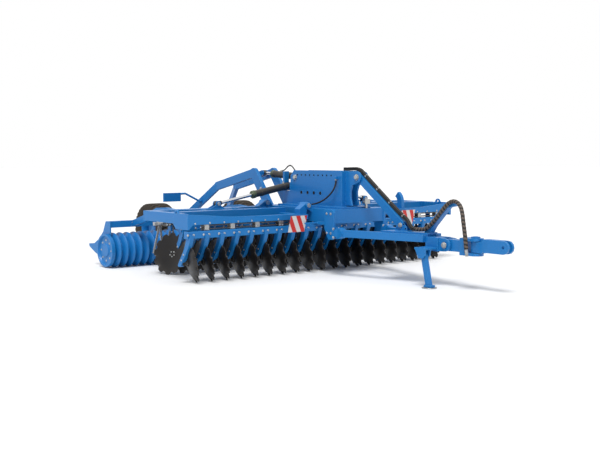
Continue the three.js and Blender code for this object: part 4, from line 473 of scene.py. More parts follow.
@dataclass
class DiscRow:
    """One row of notched discs on its arms and rail, with sizes as in the CAD drawing.

    Args:
        name: the CAD node that it stands for.
        row_x: where the discs' lowest points lie.
        first_y: the lowest point of the row's rightmost disc.
        count: how many discs.
        facing: the sign of y that the hollow sides look to.
    """

    name: str
    row_x: float
    first_y: float
    count: int
    facing: int
    pitch: float = 0.25
    radius: float = 0.31
    thickness: float = 0.006
    dish: float = 0.06
    cut_angle: float = math.radians(18)
    undercut: float = math.radians(13)
    notches: int = 12
    notch_depth: float = 0.034
    hub_radius: float = 0.055
    hub_length: float = 0.078
    hub_bolts: int = 5
    arm_offset: float = 0.195
    arm_width: float = 0.06
    arm_head_x: float = 0.03
    arm_foot_x: float = -0.09
    arm_foot_z: float = 0.245
    arm_foot_half: float = 0.0375
    arm_widening: float = 0.0125
    arm_bolt_heights: tuple[float, float] = (0.32, 0.40)
    rail_bottom: float = 0.62
    rail_size: float = 0.1
    rail_x: float = 0.11
    rail_bolt_y: float = 0.045
    overhang: float = 0.015

    def axis(self) -> np.ndarray:
        """The discs' axis, towards their hollow sides."""
        level = math.cos(self.undercut)
        cut = self.cut_angle
        return np.array([math.sin(cut) * level, self.facing * math.cos(cut) * level, math.sin(self.undercut)])

    def down(self) -> np.ndarray:
        """The steepest way down in a disc's plane."""
        axis = self.axis()
        return unit(-AXIS_Z + axis * axis[2])

    def centre(self, y: float) -> np.ndarray:
        """The middle of the disc whose lowest point lies at y."""
        centre = machine(self.row_x, y, 0) - self.down() * self.radius
        centre[2] = self.radius * math.cos(self.undercut) + self.thickness * math.sin(self.undercut)
        return centre

    def disc_ys(self) -> np.ndarray:
        """Where the discs' lowest points lie across the machine."""
        return self.first_y + np.arange(self.count) * self.pitch

    def add_disc(self, mesh: PartMesh, y: float) -> None:
        """Adds a dished disc.

        The rim's radius is the disc's, less a notch wherever the cosine of 12 turns round it is high. The
        dish is flat within the hub's plate and rises outside it towards the rim as a parabola.
        """
        axis, down = self.axis(), self.down()
        angle = np.linspace(0, 2 * np.pi, self.notches * 10, endpoint=False)
        wave = np.cos(self.notches * angle + np.pi)
        notch = self.notch_depth * np.clip((wave - NOTCH_START) / NOTCH_EDGE, 0, 1)
        rise = np.clip((DISC_RINGS - FLAT_SHARE) / (1 - FLAT_SHARE), 0, 1) ** 2
        depth = -self.dish * (1 - rise)
        shares = np.concatenate([DISC_RINGS, DISC_RINGS[::-1]])
        bevelled = np.linspace(0, 1, len(DISC_RINGS)) ** 8 * 0.6 * self.thickness
        heights = np.concatenate([depth - bevelled, (depth - self.thickness)[::-1]])
        circle = np.cos(angle)[:, None] * down + np.sin(angle)[:, None] * np.cross(axis, down)
        near_rim = np.clip((shares - NOTCHED_SHARE) / (1 - NOTCHED_SHARE), 0, 1) ** 2
        reach = self.radius * shares[:, None] - notch[None] * near_rim[:, None]
        points = self.centre(y) + reach[:, :, None] * circle[None] + heights[:, None, None] * axis
        mesh.add(points, wrapped_quads(len(shares), len(angle)))

    def add_hub(self, mesh: PartMesh, y: float) -> None:
        """Adds the hub behind a disc, the cap in its hollow side and the bolts of both."""
        axis, down, centre, hub = self.axis(), self.down(), self.centre(y), self.hub_radius
        across = np.cross(axis, down)
        back = -self.dish - self.thickness
        end = back - self.hub_length
        profile = [(0, end), (0.55 * hub, end), (0.72 * hub, end + 0.012), (0.72 * hub, back - 0.035)]
        profile += [(0.9 * hub, back - 0.028), (1.2 * hub, back - 0.012), (1.2 * hub, back), (0, back)]
        mesh.turned(profile, centre, axis, 28)
        low, high = -self.dish - 0.001, -self.dish + 0.008
        mesh.turned([(0, low), (0.95 * hub, low), (0.8 * hub, high), (0, high)], centre, axis, 28)
        for turn in np.linspace(0, 2 * np.pi, self.hub_bolts, endpoint=False):
            outward = math.cos(turn) * down + math.sin(turn) * across
            mesh.bolt(centre + 0.72 * hub * outward + axis * (-self.dish + 0.007), axis, 0.009, 1)
            mesh.bolt(centre + hub * outward + axis * (back - 0.011), -axis, 0.008, 1)

    def add_arm(self, mesh: PartMesh, y: float) -> None:
        """Adds an arm from the rail to a hub: its centre line bends back as a quarter of a sine wave."""
        top_x = self.row_x + self.rail_x + self.arm_head_x
        foot_x = self.row_x + self.arm_foot_x
        top_z = self.rail_bottom + self.rail_size / 2
        foot_z = self.arm_foot_z
        share = np.linspace(0, 1, 12)
        line_x = foot_x + (top_x - foot_x) * np.sin(share * np.pi / 2) ** 1.15
        line_z = foot_z + (top_z - foot_z) * share
        half = self.arm_foot_half + self.arm_widening * share
        front = np.stack([line_x + half, line_z], 1)
        rear = np.stack([line_x - half, line_z], 1)
        turn = np.linspace(np.pi, 2 * np.pi, 8)[1:-1]
        foot = np.stack([foot_x + half[0] * np.cos(turn), foot_z + 0.02 * np.sin(turn)], 1)
        outline = np.concatenate([rear[::-1], foot, front])
        outline[:, 0] += ORIGIN_X
        faces = (y - self.arm_width / 2, y + self.arm_width / 2)
        mesh.prism(outline, *faces)
        for height in self.arm_bolt_heights:
            x = ORIGIN_X + np.interp(height, line_z, line_x)
            mesh.bolt(np.array([x, faces[1], height]), AXIS_Y, 0.010, 1)
            mesh.bolt(np.array([x, faces[0], height]), -AXIS_Y, 0.010, 1)

    def build(self) -> None:
        """Makes the row: its arms with the rail, and its discs."""
        arm_ys = self.disc_ys() - self.facing * self.arm_offset
        arms = PartMesh(BLUE, ZINC)
        reach = self.arm_width / 2 + self.overhang
        x = self.row_x + self.rail_x
        half = self.rail_size / 2
        low = machine(x - half, arm_ys[0] - reach, self.rail_bottom)
        high = machine(x + half, arm_ys[-1] + reach, self.rail_bottom + self.rail_size)
        arms.box(low, high)
        for y in arm_ys:
            self.add_arm(arms, y)
            for offset in (-self.rail_bolt_y, self.rail_bolt_y):
                arms.bolt(machine(x + half, y + offset, self.rail_bottom + half), AXIS_X, 0.013, 1)
        arms.piece(self.name.replace("disc_row", "disc_arms"), self.name)
        discs = PartMesh(DISC_BLACK, ZINC)
        for y in self.disc_ys():
            self.add_disc(discs, y)
            self.add_hub(discs, y)
        discs.piece(self.name.replace("disc_row", "discs"), self.name, stands_for=False)


# ---------------------------------------------------------------- rollers and wheels


RING_FLANK = [(0.0, 0.04), (0.55, 0.22), (0.93, 0.40), (1.0, 0.47)]
RING_WEDGE = RING_FLANK + [(1.0, 0.53), (0.93, 0.60), (0.55, 0.78), (0.0, 0.96)]


def add_bolt_circle(mesh: PartMesh, centre: np.ndarray, radius: float, out: float, size: float) -> None:
    """Adds eight bolts round an axis across the machine, their seats at the signed distance out."""
    for turn in np.linspace(0, 2 * np.pi, 8, endpoint=False):
        spot = centre + np.array([radius * math.cos(turn), out, radius * math.sin(turn)])
        mesh.bolt(spot, np.sign(out) * AXIS_Y, size, 1)


@dataclass
class RingRoller:
    """A roller of pressed rings on one side, with the drum that closes its outer end."""

    side: Side
    x: float = -2.32
    radius: float = 0.27
    core: float = 0.185
    shaft: float = 0.042
    pitch: float = 0.121
    rings: int = 20
    start_y: float = 0.066
    inner_y: float = 0.04
    drum_y: float = 2.518
    drum_width: float = 0.056
    drum_radius: float = 0.256
    recess: float = 0.032
    bolt_radius: float = 0.16

    def build(self) -> None:
        """Makes the roller: each ring rises in a rounded wedge from the core and falls again."""
        mesh = PartMesh(BLUE, ZINC)
        sign = self.side.value
        centre = machine(self.x, 0, self.radius)
        profile = [(0.0, self.inner_y), (self.shaft, self.inner_y), (self.shaft, self.start_y)]
        rise = self.radius - self.core
        for ring in range(self.rings):
            base = self.start_y + ring * self.pitch
            profile += [(self.core + rise * up, base + self.pitch * share) for up, share in RING_WEDGE]
        end = self.start_y + self.rings * self.pitch
        outer = self.drum_y + self.drum_width
        rim = self.drum_radius
        profile += [(self.shaft, end), (self.shaft, self.drum_y), (rim, self.drum_y), (rim, outer)]
        profile += [(rim - 0.03, outer), (rim - 0.045, outer - 0.03), (0.11, outer - self.recess)]
        profile += [(0.09, outer - 0.012), (0.0, outer - 0.012)]
        mesh.turned([(r, sign * y) for r, y in profile], centre, AXIS_Y, 72)
        add_bolt_circle(mesh, centre, self.bolt_radius, sign * (outer - self.recess), 0.012)
        name = f"roller_{self.side.word}"
        mesh.piece(f"ring_{name}", name)


@dataclass
class RoadWheel:
    """A transport wheel: a tyre with slanted lugs on a dished steel rim."""

    side: Side
    y: float = 0.9
    radius: float = 0.45
    width: float = 0.39
    rim_radius: float = 0.25
    rim_width: float = 0.32
    rim_wall: float = 0.014
    rim_drop: float = 0.02
    web: float = 0.02
    nut_radius: float = 0.105
    lugs: int = 34
    lug_depth: float = 0.02
    lug_slant: float = 1.1
    sides: int = 272

    def centre(self) -> np.ndarray:
        """The wheel's centre."""
        return self.side.place(AXLE_X, self.y, self.radius)

    def section(self) -> np.ndarray:
        """The tyre's section as (radius, y) points: a rounded box between the beads."""
        half = self.width / 2
        bead = self.rim_radius + 0.002
        wall = [(bead, -0.8 * half), (bead + 0.02, -0.92 * half), (bead + 0.06, -0.99 * half)]
        wall += [(bead + 0.11, -half), (0.405, -half), (0.430, -0.97 * half), (0.443, -0.88 * half)]
        shares = np.linspace(-0.8, 0.8, 17)
        tread = [(self.radius - 0.006 * abs(share) ** 2, share * half) for share in shares]
        return np.array(wall + tread + [(r, -y) for r, y in wall[::-1]] + [(bead, 0.8 * half), wall[0]])

    def add_tyre(self, mesh: PartMesh) -> None:
        """Adds the tyre.

        Grooves cut the tread where the cosine of the lug number times the angle, slanted away from the
        middle on both sides, is high, and one groove runs round the middle.
        """
        shape = self.section()
        angle = np.linspace(0, 2 * np.pi, self.sides, endpoint=False)
        share = np.abs(shape[:, 1] / (self.width / 2))
        wave = np.cos(self.lugs * angle[None] + 2 * np.pi * (self.lug_slant * share)[:, None])
        groove = np.clip((wave - 0.25) / 0.35, 0, 1)
        middle = (share < 0.06)[:, None]
        on_tread = (shape[:, 0] > self.radius - 0.022)[:, None]
        radius = shape[:, :1] - self.lug_depth * np.where(middle, 0.8, groove) * on_tread
        circle = np.stack([np.cos(angle), np.zeros_like(angle), np.sin(angle)], 1)
        points = self.centre() + radius[:, :, None] * circle[None]
        points[:, :, 1] += shape[:, 1, None]
        mesh.add(points, wrapped_quads(len(shape), self.sides))

    def add_rim(self, mesh: PartMesh) -> None:
        """Adds the rim, its dished web with eight nuts, and the hub."""
        half = self.rim_width / 2
        outer = self.rim_radius
        well = outer - self.rim_drop
        inner = well - self.rim_wall
        lip = outer - self.rim_wall
        profile = [(outer, -half), (outer, -half + 0.012), (well, -half + 0.04), (well, half - 0.04)]
        profile += [(outer, half - 0.012), (outer, half), (lip, half), (inner, half - 0.035)]
        profile += [(inner, 0.03), (0.19, 0.05), (0.13, self.web), (0.045, self.web), (0.045, 0.0)]
        profile += [(0.13, 0.0), (0.19, 0.03), (inner, 0.01), (inner, -half + 0.035)]
        profile += [(lip, -half), profile[0]]
        sign = self.side.value
        mesh.turned([(r, sign * y) for r, y in profile], self.centre(), AXIS_Y, 72)
        hub = [(0.037, -0.075), (0.085, -0.075), (0.085, -0.02), (0.075, 0.0)]
        hub += [(0.075, 0.045), (0.06, 0.075), (0.037, 0.075), hub[0]]
        mesh.turned([(r, sign * y) for r, y in hub], self.centre(), AXIS_Y, 48)
        add_bolt_circle(mesh, self.centre(), self.nut_radius, sign * self.web, 0.013)

    def build(self) -> None:
        """Makes the tyre and the rim."""
        word = self.side.word
        tyre = PartMesh(RUBBER)
        self.add_tyre(tyre)
        tyre.piece(f"road_tyre_{word}", f"tyre_{word}")
        rim = PartMesh(BLUE, ZINC)
        self.add_rim(rim)
        rim.piece(f"road_rim_{word}", f"rim_{word}")


# ---------------------------------------------------------------- cylinders


@dataclass
class Cylinder:
    """A hydraulic cylinder: a barrel with its gland, eye and port blocks, and a chromed rod.

    Args:
        kind: lift or fold.
        suffix: what its CAD nodes' names end in.
        foot: the barrel's pin.
        eye: the rod's pin.
        cross: the pins' direction.
        eye_length: how long the barrel's eye is.
        barrel_end: the barrel's far end, from its pin.
        rod_start: the rod's hidden end, from the barrel's pin.
    """

    kind: str
    suffix: str
    foot: np.ndarray
    eye: np.ndarray
    cross: np.ndarray
    eye_length: float
    barrel_end: float
    rod_start: float
    barrel_radius: float = 0.055
    rod_radius: float = 0.025
    rod_gap: float = 0.001
    gland_length: float = 0.06
    gland_lip: float = 0.006
    eye_radius: float = 0.045
    rod_eye_length: float = 0.05
    rod_eye_start: float = 0.03
    collar_start: float = 0.075
    ports: tuple[float, float] = (0.11, 0.56)
    port_radius: float = 0.018
    port_top: float = 0.078

    def add_barrel(self, mesh: PartMesh, along: np.ndarray) -> None:
        """Adds the barrel, the gland at its end and the eye at its foot."""
        radius, end = self.barrel_radius, self.barrel_end
        inner, lip, start = self.rod_radius + self.rod_gap, radius + self.gland_lip, end - self.gland_length
        shell = [(0, 0.03), (radius - 0.01, 0.03), (radius, 0.045), (radius, end - 0.07)]
        mesh.turned([*shell, (radius + 0.002, start), (0, start)], self.foot, along, 48)
        gland = [(inner, start), (lip, start), (lip, end - 0.012), (radius, end - 0.004)]
        gland += [(radius * 0.8, end), (inner, end), (inner, start)]
        mesh.turned(gland, self.foot, along, 48, 1)
        half = self.cross * self.eye_length / 2
        mesh.rod(self.foot - half, self.foot + half, self.eye_radius, 36)

    def add_ports(self, mesh: PartMesh, along: np.ndarray) -> None:
        """Adds the ports on the barrel's upper side and the collars under them."""
        upward = unit(np.cross(along, self.cross))
        upward = upward if upward[2] > 0 else -upward
        collar = drum(-0.014, 0.014, self.barrel_radius + 0.004, BROKEN_EDGE)
        for distance in self.ports:
            middle = self.foot + along * distance
            root = middle + upward * (self.barrel_radius - 0.01)
            mesh.rod(root, middle + upward * self.port_top, self.port_radius, 24, 2)
            mesh.turned(collar, middle, along, 40)

    def build(self) -> None:
        """Makes the barrel and the rod."""
        along = unit(self.eye - self.foot)
        name = f"{self.kind}_cylinder{self.suffix}"
        barrel = PartMesh(CYLINDER, GLAND, ZINC)
        self.add_barrel(barrel, along)
        self.add_ports(barrel, along)
        barrel.piece(f"{name}_barrel", f"{self.kind}_barrel{self.suffix}")
        rod = PartMesh(CHROME, CYLINDER)
        tip = self.eye - along * self.rod_eye_start
        rod.rod(self.foot + along * self.rod_start, tip, self.rod_radius, 40)
        half = self.cross * self.rod_eye_length / 2
        rod.rod(self.eye - half, self.eye + half, self.eye_radius, 36, 1)
        rod.rod(self.eye - along * self.collar_start, tip, self.rod_radius * 1.35, 36, 1)
        rod.piece(f"{name}_rod", f"{self.kind}_rod{self.suffix}")


# ---------------------------------------------------------------- hoses


CURVE_LAYERS = (((0, 1), (1, 2), (2, 3)), ((0, 2), (1, 3)), ((1, 2),))


def smooth_route(points: list[tuple[float, float, float]], spacing: float) -> np.ndarray:
    """A centripetal Catmull-Rom curve through points of the CAD drawing, sampled at an even spacing."""
    given = np.array([machine(*point) for point in points])
    knots = np.array([2 * given[0] - given[1], *given, 2 * given[-1] - given[-2]])
    times = np.concatenate([[0], np.cumsum(np.linalg.norm(np.diff(knots, axis=0), axis=1) ** 0.5)])
    lines = []
    for first in range(len(knots) - 3):
        four, at = knots[first : first + 4], times[first : first + 4]
        t = np.linspace(at[1], at[2], 24, endpoint=False)[:, None]
        for spans in CURVE_LAYERS:
            blends = []
            for (low, high), start, end in zip(spans, four, four[1:]):
                blends.append(((at[high] - t) * start + (t - at[low]) * end) / (at[high] - at[low]))
            four = blends
        lines.append(four[0])
    dense = np.concatenate([*lines, given[-1:]])
    walked = np.concatenate([[0], np.cumsum(np.linalg.norm(np.diff(dense, axis=0), axis=1))])
    stations = np.linspace(0, walked[-1], max(int(walked[-1] / spacing), 4))
    return np.stack([np.interp(stations, walked, dense[:, axis]) for axis in range(3)], 1)


def route_length(path: np.ndarray) -> float:
    """The length of a path."""
    return float(np.linalg.norm(np.diff(path, axis=0), axis=1).sum())


@dataclass
class HoseBundle:
    """The wrapped hoses from the drawbar over the post to their plugs beside the hitch."""

    radius: float = 0.028
    wrap_pitch: float = 0.052
    plug_length: float = 0.09
    plug_spread: float = 0.0125
    sides: int = 18

    def route(self) -> np.ndarray:
        """The bundle's line."""
        points = [(1.89, -0.074, 0.735), (1.96, -0.074, 0.735), (2.08, -0.074, 0.752), (2.2, -0.074, 0.838)]
        points += [(2.32, -0.074, 0.96), (2.44, -0.074, 1.08), (2.51, -0.076, 1.126), (2.588, -0.092, 1.141)]
        points += [(2.671, -0.116, 1.125), (2.742, -0.14, 1.075), (2.786, -0.16, 1.003)]
        points += [(2.822, -0.178, 0.89), (2.852, -0.189, 0.775), (2.876, -0.195, 0.66)]
        points += [(2.892, -0.197, 0.545)]
        return smooth_route(points, 0.005)

    def plugs(self, path: np.ndarray) -> bpy.types.Object:
        """Makes the four plugs under the bundle's end."""
        mesh = PartMesh(ZINC)
        down = unit(path[-1] - path[-3])
        side = unit(np.cross(down, AXIS_Y))
        length = self.plug_length
        steps = [(0, 0), (0.009, 0), (0.009, 0.02), (0.0105, 0.022), (0.0105, 0.05), (0.0075, 0.054)]
        steps += [(0.0075, length - 0.002), (0.006, length), (0, length)]
        for turn in np.radians([45, 135, 225, 315]):
            outward = math.cos(turn) * side + math.sin(turn) * AXIS_Y
            mesh.turned(steps, path[-1] + down * 0.0005 + self.plug_spread * outward, down, 16)
        return mesh.piece("bundle_plugs", "hose_plugs")

    def build(self) -> None:
        """Makes the bundle and its spiral wrap, which stands up where a cosine along and round it is high."""
        path = self.route()
        angle = np.linspace(0, 2 * np.pi, self.sides, endpoint=False)
        walked = np.arange(len(path)) * route_length(path) / (len(path) - 1)
        wave = np.cos(angle[None] - 2 * np.pi * walked[:, None] / self.wrap_pitch)
        wrapped = np.clip((wave + 0.1) / 0.3, 0, 1)
        mesh = PartMesh(HOSE, WRAP)
        mesh.tube(path, self.radius * (0.93 + 0.07 * wrapped), self.sides, (wave[:-1] > 0).astype(int))
        bundle = mesh.piece("wrapped_hose_bundle", "hose_bundle")
        self.plugs(path)


@dataclass
class FreeHose:
    """A single hose held only at its two ends, with a crimped sleeve on each."""

    node: str
    name: str
    path: np.ndarray
    radius: float
    lay: str
    stiffness: str = "medium"

    def build(self) -> None:
        """Makes the hose and its sleeves."""
        mesh = PartMesh(HOSE)
        mesh.tube(self.path, self.radius, 16)
        hose = mesh.piece(self.name, self.node)
        sleeves = PartMesh(ZINC)
        inner, outer = self.radius, self.radius + 0.003
        profile = [(inner, 0.001), (outer, 0.001), (outer, 0.012), (outer - 0.001, 0.015), (inner, 0.024)]
        for end, next_point in ((self.path[0], self.path[4]), (self.path[-1], self.path[-5])):
            sleeves.turned([*profile, profile[0]], end, unit(next_point - end), 24)
        crimps = sleeves.piece(f"{self.name}_sleeves", self.node, stands_for=False)


def side_hose() -> FreeHose:
    """The hose that sags along the tower's right side."""
    points = [(0.4, -0.2, 1.389), (0.4, -0.2, 1.34), (0.389, -0.212, 1.275), (0.355, -0.226, 1.21)]
    points += [(0.3, -0.24, 1.15), (0.22, -0.252, 1.092), (0.12, -0.262, 1.045), (0.01, -0.268, 1.013)]
    points += [(-0.1, -0.27, 0.999), (-0.22, -0.27, 0.997), (-0.35, -0.27, 0.997)]
    return FreeHose("side_hose", "tower_side_hose", smooth_route(points, 0.012), 0.012, "hanging")


def lift_hose() -> FreeHose:
    """The hose that arches over the lift cylinder: straight at both ends, one cosine wave between them."""
    along = unit(np.subtract(LIFT_EYE, LIFT_FOOT))
    up = np.array([along[2], 0.0, -along[0]])
    base = machine(*LIFT_FOOT) + up * 0.068
    start, end, stub, rise = 0.1283, 0.5417, 0.012, 0.095
    distance = np.concatenate([[start], np.linspace(start + stub, end - stub, 60), [end]])
    share = np.clip((distance - start - stub) / (end - start - 2 * stub), 0, 1)
    height = rise * (1 - np.cos(2 * np.pi * share)) / 2
    path = base + distance[:, None] * along + height[:, None] * up
    return FreeHose("lift_hose", "lift_arch_hose", path, 0.010, "loose")


@dataclass
class FeedHoses:
    """The hoses along the brace from the tower's head to the drawbar: two over two, under clips."""

    radius: float = 0.0125
    spread: float = 0.0125
    brace_depth: float = 0.112
    tower_top: float = 1.51
    bundle_radius: float = 0.026
    clip_shares: tuple[float, ...] = (0.28, 0.45, 0.62, 0.8)

    def route(self) -> np.ndarray:
        """The middle line of the hoses."""
        slope = unit(np.subtract(BRACE_FOOT, BRACE_HEAD))
        lift = self.brace_depth / 2 + self.bundle_radius + RESTING_GAP
        head = self.tower_top + self.bundle_radius + RESTING_GAP

        def above(distance: float, spare: float) -> tuple[float, float, float]:
            """A point over the brace's upper face, at a distance from its upper pin."""
            x = BRACE_HEAD[0] + slope[0] * distance - slope[1] * (lift + spare)
            return x, 0.0, BRACE_HEAD[1] + slope[1] * distance + slope[0] * (lift + spare)

        points = [(0.37, 0.0, head + 0.001), (0.42, 0.0, head + 0.001), (0.52, 0.0, head + 0.004)]
        points += [(0.63, 0.0, head + 0.005), (0.72, 0.0, head - 0.013), above(0.06, 0.004)]
        points += [above(distance, 0.001) for distance in (0.25, 0.5, 0.75)]
        points += [above(0.88, 0.004), above(0.98, 0.010), (1.7, -0.028, 0.838), (1.775, -0.058, 0.777)]
        points += [(1.85, -0.074, 0.735), (1.8897, -0.074, 0.735)]
        return smooth_route(points, 0.015)

    def build(self) -> None:
        """Makes four hoses in the bundle's round and the clips that hold them."""
        path = self.route()
        mesh = PartMesh(HOSE, ZINC)
        tangent = np.gradient(path, axis=0)
        up = np.cross(tangent, AXIS_Y)
        up /= np.linalg.norm(up, axis=1, keepdims=True)
        for across, raised in ((-1, -1), (1, -1), (-1, 1), (1, 1)):
            mesh.tube(path + self.spread * (across * AXIS_Y + raised * up), self.radius, 12)
        band = [(0.0262, -0.012), (0.028, -0.012), (0.028, 0.012), (0.0262, 0.012), (0.0262, -0.012)]
        for share in self.clip_shares:
            at = int(share * len(path))
            mesh.turned(band, path[at], unit(tangent[at]), 28, 1)
        mesh.piece("brace_hoses", "feed_hoses")


# ---------------------------------------------------------------- trim


@dataclass
class WingTrim:
    """Fasteners of one wing: spring clamps, hinge pin heads and bolts."""

    side: Side
    rows: tuple[float, float] = (0.0, -1.0)
    spring_first: float = 0.592
    spring_pitch: float = 0.427
    spring_count: int = 5
    spring_front: float = 0.136
    low: float = 0.7203
    high: float = 0.8097
    hinge_xs: tuple[float, float] = (0.05, -0.95)
    hinge_half: float = 0.091
    eye_half: float = 0.049
    pin_head: float = 0.012
    arm_ys: tuple[float, float] = (0.77, 2.08)
    arm_half: float = 0.03

    def add_clamps(self, mesh: PartMesh, row: float) -> None:
        """Adds the light plate and the four bolts of each spring clamp."""
        plate = 0.008
        for number in range(self.spring_count):
            across = self.spring_first + number * self.spring_pitch
            x, y, _ = self.side.place(row + self.spring_front, across, 0)
            low = np.array([x, y - 0.036, self.low + 0.006])
            mesh.box(low, np.array([x + plate, y + 0.036, self.high - 0.006]), edge=BROKEN_EDGE)
            for offset in (-0.022, 0.022):
                for height in (self.low + 0.02, self.high - 0.02):
                    mesh.bolt(np.array([x + plate, y + offset, height]), AXIS_X, 0.008)

    def add_pins(self, mesh: PartMesh) -> None:
        """Adds the heads of the hinge pins and of the fold cylinder's eye pin."""
        pins = [(x, HINGE_Y, HINGE_Z, self.hinge_half, 0.034) for x in self.hinge_xs]
        pins.append((*FOLD_EYE, self.eye_half, 0.026))
        for x, y, z, half, radius in pins:
            for end in (-1, 1):
                place = self.side.place(x + end * half, y, z)
                mesh.rod(place, place + end * AXIS_X * self.pin_head, radius, 24)

    def add_bolts(self, mesh: PartMesh) -> None:
        """Adds bolts along the front beam's face and on the roller arms' root plates."""
        for y in np.linspace(0.62, 2.5, 9):
            mesh.bolt(self.side.place(0.164, y, 0.822), AXIS_X, 0.010)
        for y in self.arm_ys:
            for face in (-1, 1):
                for x, z in ((-1.09, 0.84), (-1.09, 0.92), (-1.2, 0.88), (-2.28, 0.69)):
                    middle = self.side.place(x, y, z)
                    mesh.bolt(middle + face * self.arm_half * AXIS_Y, face * AXIS_Y, 0.012)

    def build(self) -> None:
        """Makes the wing's trim."""
        mesh = PartMesh(ZINC)
        for row in self.rows:
            self.add_clamps(mesh, row)
        self.add_pins(mesh)
        self.add_bolts(mesh)
        mesh.piece(f"wing_trim_{self.side.word}", f"wing_frame_{self.side.word}", stands_for=False)


@dataclass
class WarningBoard:
    """A striped board that leans forward on a rod from the centre frame's side plate."""

    side: Side
    y: float
    x: float = 0.33
    z: float = 0.755
    width: float = 0.3
    height: float = 0.24
    lean: float = 0.07
    thickness: float = 0.006
    rod_x: float = 0.348
    rod_radius: float = 0.013
    rod_overlap: float = 0.03
    plate_x: float = 0.51
    bracket_half: tuple[float, float] = (0.015, 0.02)

    def build(self) -> None:
        """Makes the board and its rod."""
        node = f"warning_board_{self.side.word}"
        half = self.thickness / 2
        low_x, high_x = self.x - self.lean / 2, self.x + self.lean / 2
        low_z, high_z = self.z - self.height / 2, self.z + self.height / 2
        outline = [(low_x - half, low_z), (low_x + half, low_z)]
        outline += [(high_x + half, high_z), (high_x - half, high_z)]
        edges = sorted(self.side.value * (self.y + end * self.width / 2) for end in (-1, 1))
        sheet = PartMesh(BOARD)
        sheet.prism(np.add(outline, (ORIGIN_X, 0)), *edges)
        board = sheet.piece(node.replace("warning", "striped"), node)
        board.data.materials[0] = material(BOARD, striped=True)
        half_y, half_z = self.bracket_half
        mesh = PartMesh(BLUE)
        inner = self.side.place(self.rod_x, HINGE_Y - half_y, self.z)
        outer = self.side.place(self.rod_x, self.y - self.width / 2 + self.rod_overlap, self.z)
        mesh.rod(inner, outer, self.rod_radius, 24)
        root = self.side.value * HINGE_Y
        low = machine(self.rod_x, root - half_y, self.z - half_z)
        mesh.box(low, machine(self.plate_x - RESTING_GAP, root + half_y, self.z + half_z), 0, 0.003)
        mesh.piece(f"board_rod_{self.side.word}", node, stands_for=False)


@dataclass
class ChassisTrim:
    """Fasteners, pins and holes of the fixed frame, tower, brace and drawbar."""

    tower_y: float = 0.16
    ear_y: float = 0.0803
    nose_y: float = 0.0683
    side_plate_y: float = 0.518
    front_plate_x: float = 0.745

    def add_holes(self, mesh: PartMesh, side: Side) -> None:
        """Adds the tower's row of small holes, its row of large ones, and the brace ears' spare holes, each as
        a disc of painted shade.
        """
        holes = [(x, self.tower_y, 1.44, 0.014) for x in np.linspace(-0.55, 0.25, 9)]
        holes += [(x, self.tower_y, 1.17, 0.026) for x in (-0.45, -0.3, -0.15, 0.0)]
        holes += [(x, self.nose_y, z, 0.010) for x, z in ((1.665, 0.79), (1.70, 0.73), (1.54, 0.73))]
        for x, y, z, radius in holes:
            self.add_hole(mesh, side.place(x, y, z), side.value * AXIS_Y, radius)

    def add_heads(self, mesh: PartMesh, side: Side) -> None:
        """Adds the heads of the pins and of the plates' bolts."""
        heads = [(LIFT_FOOT[0], self.tower_y, LIFT_FOOT[2], 0.034), (2.45, 0.12, 0.56, 0.034)]
        heads += [(BRACE_HEAD[0], self.ear_y, BRACE_HEAD[1], 0.036), (-1.17, 0.23, 0.86, 0.03)]
        heads += [(BRACE_FOOT[0], self.nose_y, BRACE_FOOT[1], 0.030)]
        heads += [(x, self.side_plate_y, z, 0.015) for z in (0.62, 0.9) for x in (0.56, 0.65)]
        for x, y, z, size in heads:
            mesh.bolt(side.place(x, y, z), side.value * AXIS_Y, size, 1)
        for z in (0.57, 0.69):
            for y in (0.45, 0.55):
                mesh.bolt(side.place(self.front_plate_x, y, z), AXIS_X, 0.016, 1)

    def add_hole(self, mesh: PartMesh, place: np.ndarray, axis: np.ndarray, radius: float) -> None:
        """Adds a round hole as a disc of painted shade, with a thin pressed rim."""
        mesh.turned([(0, 0.0004), (radius, 0.0004), (radius, 0.0008), (0, 0.0008)], place, axis, 24, 2)
        rim = [(radius, 0), (radius + 0.004, 0), (radius + 0.003, 0.0015), (radius, 0.0015), (radius, 0)]
        mesh.turned(rim, place, axis, 24)

    def build(self) -> None:
        """Makes the chassis trim."""
        mesh = PartMesh(BLUE, ZINC, HOLE_SHADE)
        for side in Side:
            self.add_holes(mesh, side)
            self.add_heads(mesh, side)
        mesh.piece("chassis_trim", "tower", stands_for=False)


def fold_pin(side: Side) -> None:
    """Makes the bright pin that a fold cylinder swings on."""
    node = f"fold_pin_{side.word}"
    middle = side.place(*FOLD_FOOT)
    reach = 0.0657 * AXIS_X
    mesh = PartMesh(ZINC)
    mesh.rod(middle - reach, middle + reach, 0.02, 32)
    mesh.piece(f"swing_{node}", node)


def foot_plate() -> None:
    """Makes the parking stand's round foot: a dished plate with a bright rolled rim."""
    radius, top, edge = 0.1, 0.012, 0.003
    profile = [(0, 0), (radius - edge, 0), (radius, edge), (radius, top - edge), (radius - edge, top)]
    profile += [(radius - 0.012, top - edge), (0, top - edge)]
    mesh = PartMesh(ZINC)
    mesh.turned(profile, machine(2.365, -0.3, 0), AXIS_Z, 72)
    mesh.piece("stand_foot_plate", "stand_foot")


# ---------------------------------------------------------------- CAD nodes that stay, and the studio


SLOT_FINISH = {
    "blue_paint": BLUE,
    "black_steel": DISC_BLACK,
    "spring_steel": SPRING,
    "chrome": CHROME,
    "cylinder_paint": CYLINDER,
    "tyre": RUBBER,
    "hose": HOSE,
    "zinc": ZINC,
    "board": BOARD,
    "tine_steel": TINE,
}


def cad_finish(name: str, node: bpy.types.Object) -> Finish:
    """The finish of a CAD node that stays: its slot's, read from the name of the material it came with."""
    came = node.data.materials[0].name if node.data.materials else ""
    for slot, finish in SLOT_FINISH.items():
        if slot in came:
            return finish
    LOG.warning("%s came with the material %s", name, came)
    return BLUE


